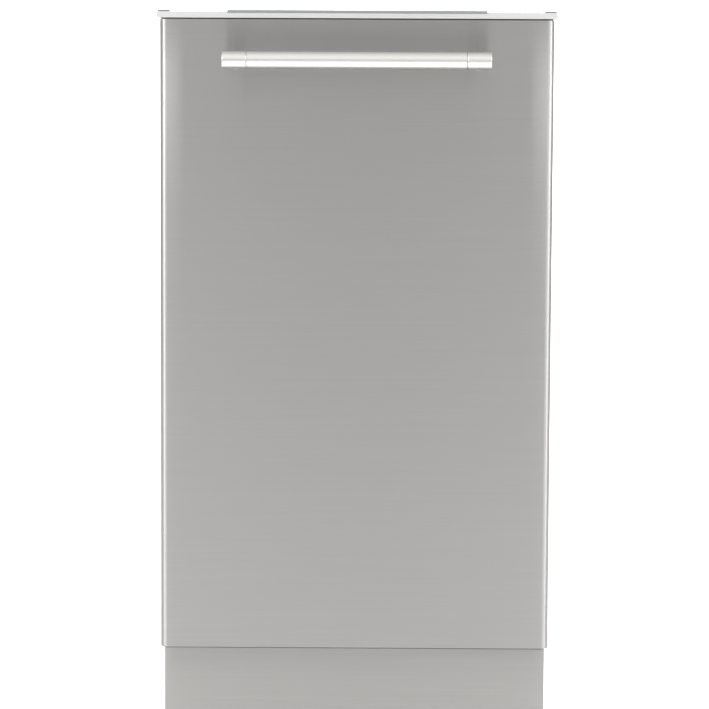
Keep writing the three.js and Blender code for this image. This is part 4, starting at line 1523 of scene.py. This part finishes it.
# ---------------------------------------------------------------- water
@dataclass
class SprayArm:
    """A hollow moulded spray arm with rows of jets.

    Args:
        node: the arm's node, which is its body too.
        jets: how many jets each half of the arm has.
        first_jet: from the arm's axis to the first jet.
        stagger: how far the jets stand to either side of the arm's middle line.
        jet_radius: radius of a jet's collar.
        jet_bore: radius of its hole.
    """

    node: str
    jets: int = 6
    first_jet: float = 38 * MM
    stagger: float = 3.5 * MM
    jet_radius: float = 3.2 * MM
    jet_bore: float = 1.5 * MM

    def build(self) -> None:
        """Rounds the arm and sets its jets along its top."""
        arm = refined(self.node, 2.6 * MM, 4, 40)
        room = Room.of(self.node)
        axis_y = room.middle.y
        spacing = (room.size.x / 2 - 60 * MM) / self.jets
        jets = []
        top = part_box(self.node)[1].z - self.boss_height()
        for side in (-1, 1):
            for i in range(self.jets):
                x = side * (self.first_jet + i * spacing)
                y = axis_y + (self.stagger if i % 2 else -self.stagger)
                ring = rod("jet", (x, y, top - 1 * MM), (x, y, top + 0.7 * MM), self.jet_radius, 24)
                hole = rod("hole", (x, y, top - 0.4 * MM), (x, y, top + 3 * MM), self.jet_bore, 16)
                cut(ring, hole)
                soften(ring, 0.3 * MM)
                jets.append(ring)
        whole = joined(f"{self.node}_moulded", [arm, *jets])
        place(whole, Palette.GREY, self.node, "grey_plastic")

    def boss_height(self) -> float:
        """How far the arm's boss stands above its blade."""
        return 2 * MM if self.node.startswith("lower") else 3 * MM


@dataclass
class Water:
    """The pieces that carry, spray and filter the water."""

    def build(self) -> None:
        """Finishes the water pieces."""
        SprayArm("lower_spray_arm").build()
        SprayArm("upper_spray_arm").build()
        place(refined("top_sprayer", 1 * MM, 3), Palette.GREY, "top_sprayer", "grey_plastic")
        place(refined("water_duct", 2 * MM, 3), Palette.GREY, "root", "grey_plastic")
        place(refined("float_cap", 1.5 * MM, 3), Palette.GREY, "float_cap", "grey_plastic")
        place(refined("sump", 1 * MM, 2), Palette.DARK, "root", "dark_plastic")
        place(refined("coarse_filter", 0.3 * MM), Palette.FILTER, "root", "tub_steel")
        place(refined("filter_cylinder", 1 * MM, 3), Palette.GREY, "filter_cylinder", "grey_plastic")


# ---------------------------------------------------------------- body
@dataclass
class Body:
    """Tub, seal, frame, base and what stands in it.

    Args:
        mat_thickness: thickness of the sound mats on the tub.
        mat_margin: how far a mat stays from the tub's edges.
    """

    mat_thickness: float = 3 * MM
    mat_margin: float = 45 * MM

    def build(self) -> None:
        """Finishes the fixed pieces."""
        place(refined("tub", 0.5 * MM, 2, 40), Palette.TUB_STEEL, "root", "tub_steel")
        place(refined("tub_gasket", 1.4 * MM, 4), Palette.RUBBER, "root", "seal_rubber")
        for node in ("top_crossbar", "latch_strike", "side_frame_left", "side_frame_right"):
            place(refined(node, 0.4 * MM), Palette.ZINC, "root", "galvanised_steel")
        place(refined("base_tray", 1.2 * MM), Palette.DARK, "root", "dark_plastic")
        for node in ("wash_pump", "terminal_box"):
            place(refined(node, 1.5 * MM, 3), Palette.DARK, "root", "dark_plastic")
        for node in ("drain_pump", "inlet_valve"):
            place(refined(node, 1.2 * MM, 3), Palette.WHITE, "root", "white_plastic")
        # The kick plate takes the lighter copy of the door's steel, painted light against the shade under the door.
        place(refined("kick_plate", 0.5 * MM, 3), Palette.KICK_STEEL_LIGHTENED, "root", "brushed_steel")
        for row in ("front", "rear"):
            for side in Side:
                node = f"{row}_{side.word}_foot"
                place(refined(node, 0.8 * MM, 3), Palette.DARK, node, "dark_plastic")
        self.build_mats()

    def build_mats(self) -> None:
        """Sound mats on the tub's top, back and both sides."""
        tub = Room.of("tub")
        inner = Room.of("tub_gasket").high.x - 7.6 * MM
        margin = self.mat_margin
        front, back = tub.low.y + 80 * MM, tub.high.y - margin
        low_z, high_z = tub.low.z + 60 * MM, tub.high.z - 10 * MM - margin
        top, rear, thick = tub.high.z - 10 * MM + 1.5 * MM, tub.high.y, self.mat_thickness
        mats = [
            block("mat", (inner, front, low_z), (inner + thick, back, high_z)),
            block("mat", (-inner - thick, front, low_z), (-inner, back, high_z)),
            block("mat", (-inner + margin, front, top), (inner - margin, back, top + thick)),
            block("mat", (-inner + margin, rear, low_z), (inner - margin, rear + thick, high_z)),
        ]
        for mat in mats:
            soften(mat, 1.2 * MM, 3)
        place(joined("tub_sound_mats", mats), Palette.MAT, "root", "sound_pad")


@dataclass
class Balance:
    """The two springs that balance the door, each with the slider that stretches it.

    Args:
        turns: how many coils a spring has.
        steps: how many points one coil has.
        wire_radius: radius of the spring wire.
    """

    turns: int = 26
    steps: int = 14
    wire_radius: float = 1 * MM

    def build(self) -> None:
        """Winds both springs."""
        for side in Side:
            node = f"balance_spring_{side.word}"
            room = Room.of(node)
            centre = room.middle
            radius = room.size.z / 2 - self.wire_radius
            points = []
            length = room.size.y - 2 * self.wire_radius
            for i in range(self.turns * self.steps + 1):
                angle = 2 * math.pi * i / self.steps
                y = room.low.y + self.wire_radius + length * i / (self.turns * self.steps)
                points.append((centre.x + radius * math.cos(angle), y, centre.z + radius * math.sin(angle)))
            spring = wire(f"{node}_wound", points, self.wire_radius)
            spring.data.materials.clear()
            spring.data.materials.append(Palette.SPRING.build())
            hook = f"spring_hook_{side.word}"
            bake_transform(spring)
            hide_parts(node)
            place(refined(hook, 0.5 * MM), Palette.ZINC, hook, "galvanised_steel")


# ---------------------------------------------------------------- stage
@dataclass
class Stage:
    """The plain floor and backdrop, the soft lights and the camera.

    Args:
        eye: where the camera stands.
        pitch: how far it looks down, in degrees.
        yaw: how far it looks to the right, in degrees.
        roll: how far it is turned about its own axis, in degrees.
        lens: its focal length in millimetres, on a 36 mm sensor.
        near_glow: how brightly the white paper glows by itself near the dishwasher and behind it: painted light, which
            lights the door from below and behind.
        far_glow: the same far in front of it, where the floor is left darker as painted shade of the camera's side of
            the room.
        pool: where along Y the glow falls from one to the other.
        room_light: the brightness of the room's walls.
        horizon: their share of it at eye height and below.
        zenith: their share straight above.
        behind: their share beyond the backdrop.
        centre: their share straight behind the camera.
        flank: their share well to the left and right.
    """

    eye: tuple[float, float, float] = (0.0143, -3.16, 0.688)
    pitch: float = 4.99
    yaw: float = -0.306
    roll: float = 0.276
    lens: float = 131.1
    near_glow: float = 0.8
    far_glow: float = 0.0
    pool: tuple[float, float] = (-2.6, -1.5)
    room_light: float = 1.72
    horizon: float = 0.22
    zenith: float = 0.45
    behind: float = 0.28
    centre: float = 0.48
    flank: float = 1.7

    def build(self) -> None:
        """Sets the stage."""
        self.build_camera()
        self.build_floor()
        self.build_lights()
        self.build_room()
        scene = bpy.context.scene
        scene.view_settings.view_transform = "Standard"

    def build_camera(self) -> None:
        """Stands the camera in front, looking slightly down."""
        camera = bpy.data.cameras.new("camera")
        camera.lens, camera.sensor_width = self.lens, 36
        camera.clip_end = 50
        holder = bpy.data.objects.new("camera", camera)
        bpy.context.scene.collection.objects.link(holder)
        turn = (
            Matrix.Rotation(math.radians(-self.yaw), 4, "Z")
            @ Matrix.Rotation(math.radians(90 - self.pitch), 4, "X")
            @ Matrix.Rotation(math.radians(self.roll), 4, "Z")
        )
        holder.matrix_world = Matrix.Translation(Vector(self.eye)) @ turn
        bpy.context.scene.camera = holder

    def build_floor(self) -> None:
        """A pale floor whose glow near the dishwasher is painted light, and a white backdrop just wide enough to stand
        behind the dishwasher.
        """
        paper = bpy.data.materials.new("backdrop_paper")
        paper.use_nodes = True
        shader = paper.node_tree.nodes["Principled BSDF"]
        shader.inputs["Base Color"].default_value = linear("#f4f4f4")
        shader.inputs["Roughness"].default_value = 0.9
        shader.inputs["Emission Color"].default_value = linear("#ffffff")
        tree = paper.node_tree
        # Painted light: the paper glows near the dishwasher and behind it, while the floor far in front, near the
        # camera, is left without glow as painted shade.
        along = add_node(tree, "SeparateXYZ", {0: add_node(tree, "TexCoord").outputs["Object"]}).outputs[1]
        limits = {"From Min": self.pool[0], "From Max": self.pool[1], "To Min": self.far_glow, "To Max": self.near_glow}
        glow = add_node(tree, "MapRange", {"Value": along, **limits}, interpolation_type="SMOOTHSTEP")
        tree.links.new(glow.outputs[0], shader.inputs["Emission Strength"])
        start()
        bpy.ops.mesh.primitive_plane_add(size=14, location=(0, 0, 0))
        floor = settle("floor")
        start()
        bpy.ops.mesh.primitive_plane_add(size=2.2, location=(0, 3.0, 1.1), rotation=(math.pi / 2, 0, 0))
        wall = settle("backdrop")
        for sheet in (floor, wall):
            sheet.data.materials.append(paper)
            sheet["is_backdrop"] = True

    def light(self, name: str, place_at: Point, aim: Point, size: tuple[float, float], power: float) -> None:
        """A rectangular soft light.

        Args:
            name: its name.
            place_at: where it hangs.
            aim: the point it faces.
            size: its two sides.
            power: its power in watts.
        """
        lamp = bpy.data.lights.new(name, "AREA")
        lamp.shape = "RECTANGLE"
        lamp.size, lamp.size_y = size
        lamp.energy = power
        holder = bpy.data.objects.new(name, lamp)
        bpy.context.scene.collection.objects.link(holder)
        holder.location = place_at
        holder.rotation_euler = (Vector(aim) - Vector(place_at)).to_track_quat("-Z", "Y").to_euler()

    def build_lights(self) -> None:
        """A soft light high at each side, one above and one on the backdrop."""
        self.light("left_light", (-2.3, -1.75, 1.45), (-0.22, -0.26, 0.6), (1.2, 1.1), 29)
        self.light("right_light", (2.45, -1.2, 1.45), (0.22, -0.26, 0.6), (1.3, 1.1), 30)
        self.light("top_light", (0, -0.2, 3.0), (0, 0, 0), (2.5, 2.5), 14)
        self.light("backdrop_light", (0, 1.6, 2.6), (0, 3.0, 0.9), (2, 0.8), 40)

    def build_room(self) -> None:
        """The room around: bright walls, dim behind the camera at eye height and dim beyond the backdrop."""
        world = bpy.data.worlds.new("room")
        world.use_nodes = True
        tree = world.node_tree
        tree.nodes.clear()
        way = add_node(tree, "TexCoord").outputs["Generated"]
        axes = add_node(tree, "SeparateXYZ", {0: way}).outputs
        aside = add_node(tree, "Math", {0: axes[0]}, operation="ABSOLUTE").outputs[0]
        steps = (
            (axes[2], -0.02, 0.16, self.horizon, 1.0),
            (axes[2], 0.75, 1.0, 1.0, self.zenith),
            (axes[1], -0.5, -0.1, 1.0, self.behind),
            (aside, 0.03, 0.16, self.centre, 1.0),
            (aside, 0.16, 0.45, 1.0, self.flank),
        )
        value: NodeSocket | float = self.room_light
        for source, low, high, first, last in steps:
            step = add_node(
                tree,
                "MapRange",
                {"Value": source, "From Min": low, "From Max": high, "To Min": first, "To Max": last},
                interpolation_type="SMOOTHSTEP",
            )
            value = add_node(tree, "Math", {0: value, 1: step.outputs[0]}, operation="MULTIPLY").outputs[0]
        light = add_node(tree, "Background", {"Color": (1.0, 0.995, 0.985, 1.0), "Strength": value})
        add_node(tree, "OutputWorld", {"Surface": light.outputs[0]})
        bpy.context.scene.world = world


def corners() -> list[list[float]]:
    """The whole object's box as plain numbers."""
    return [[float(v) for v in corner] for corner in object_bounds()]


def main() -> None:
    """Builds the dishwasher over its frame."""
    logging.basicConfig(level=logging.INFO, format="%(message)s")
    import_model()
    for part in (
        Stage(),
        DoorPanel(),
        DoorEdge(),
        Handle(),
        DoorInside(),
        LowerRack("lower_rack", "lower_rack", 14, 11, [(-122 * MM, 72 * MM)], ("lower_rack_floor",)),
        UpperRack("upper_rack", "upper_rack", 14, 11, [(110 * MM, 48 * MM)]),
        Water(),
        Body(),
        Balance(),
    ):
        part.build()
        log.info("%s done", type(part).__name__)


if __name__ == "__main__":
    main()
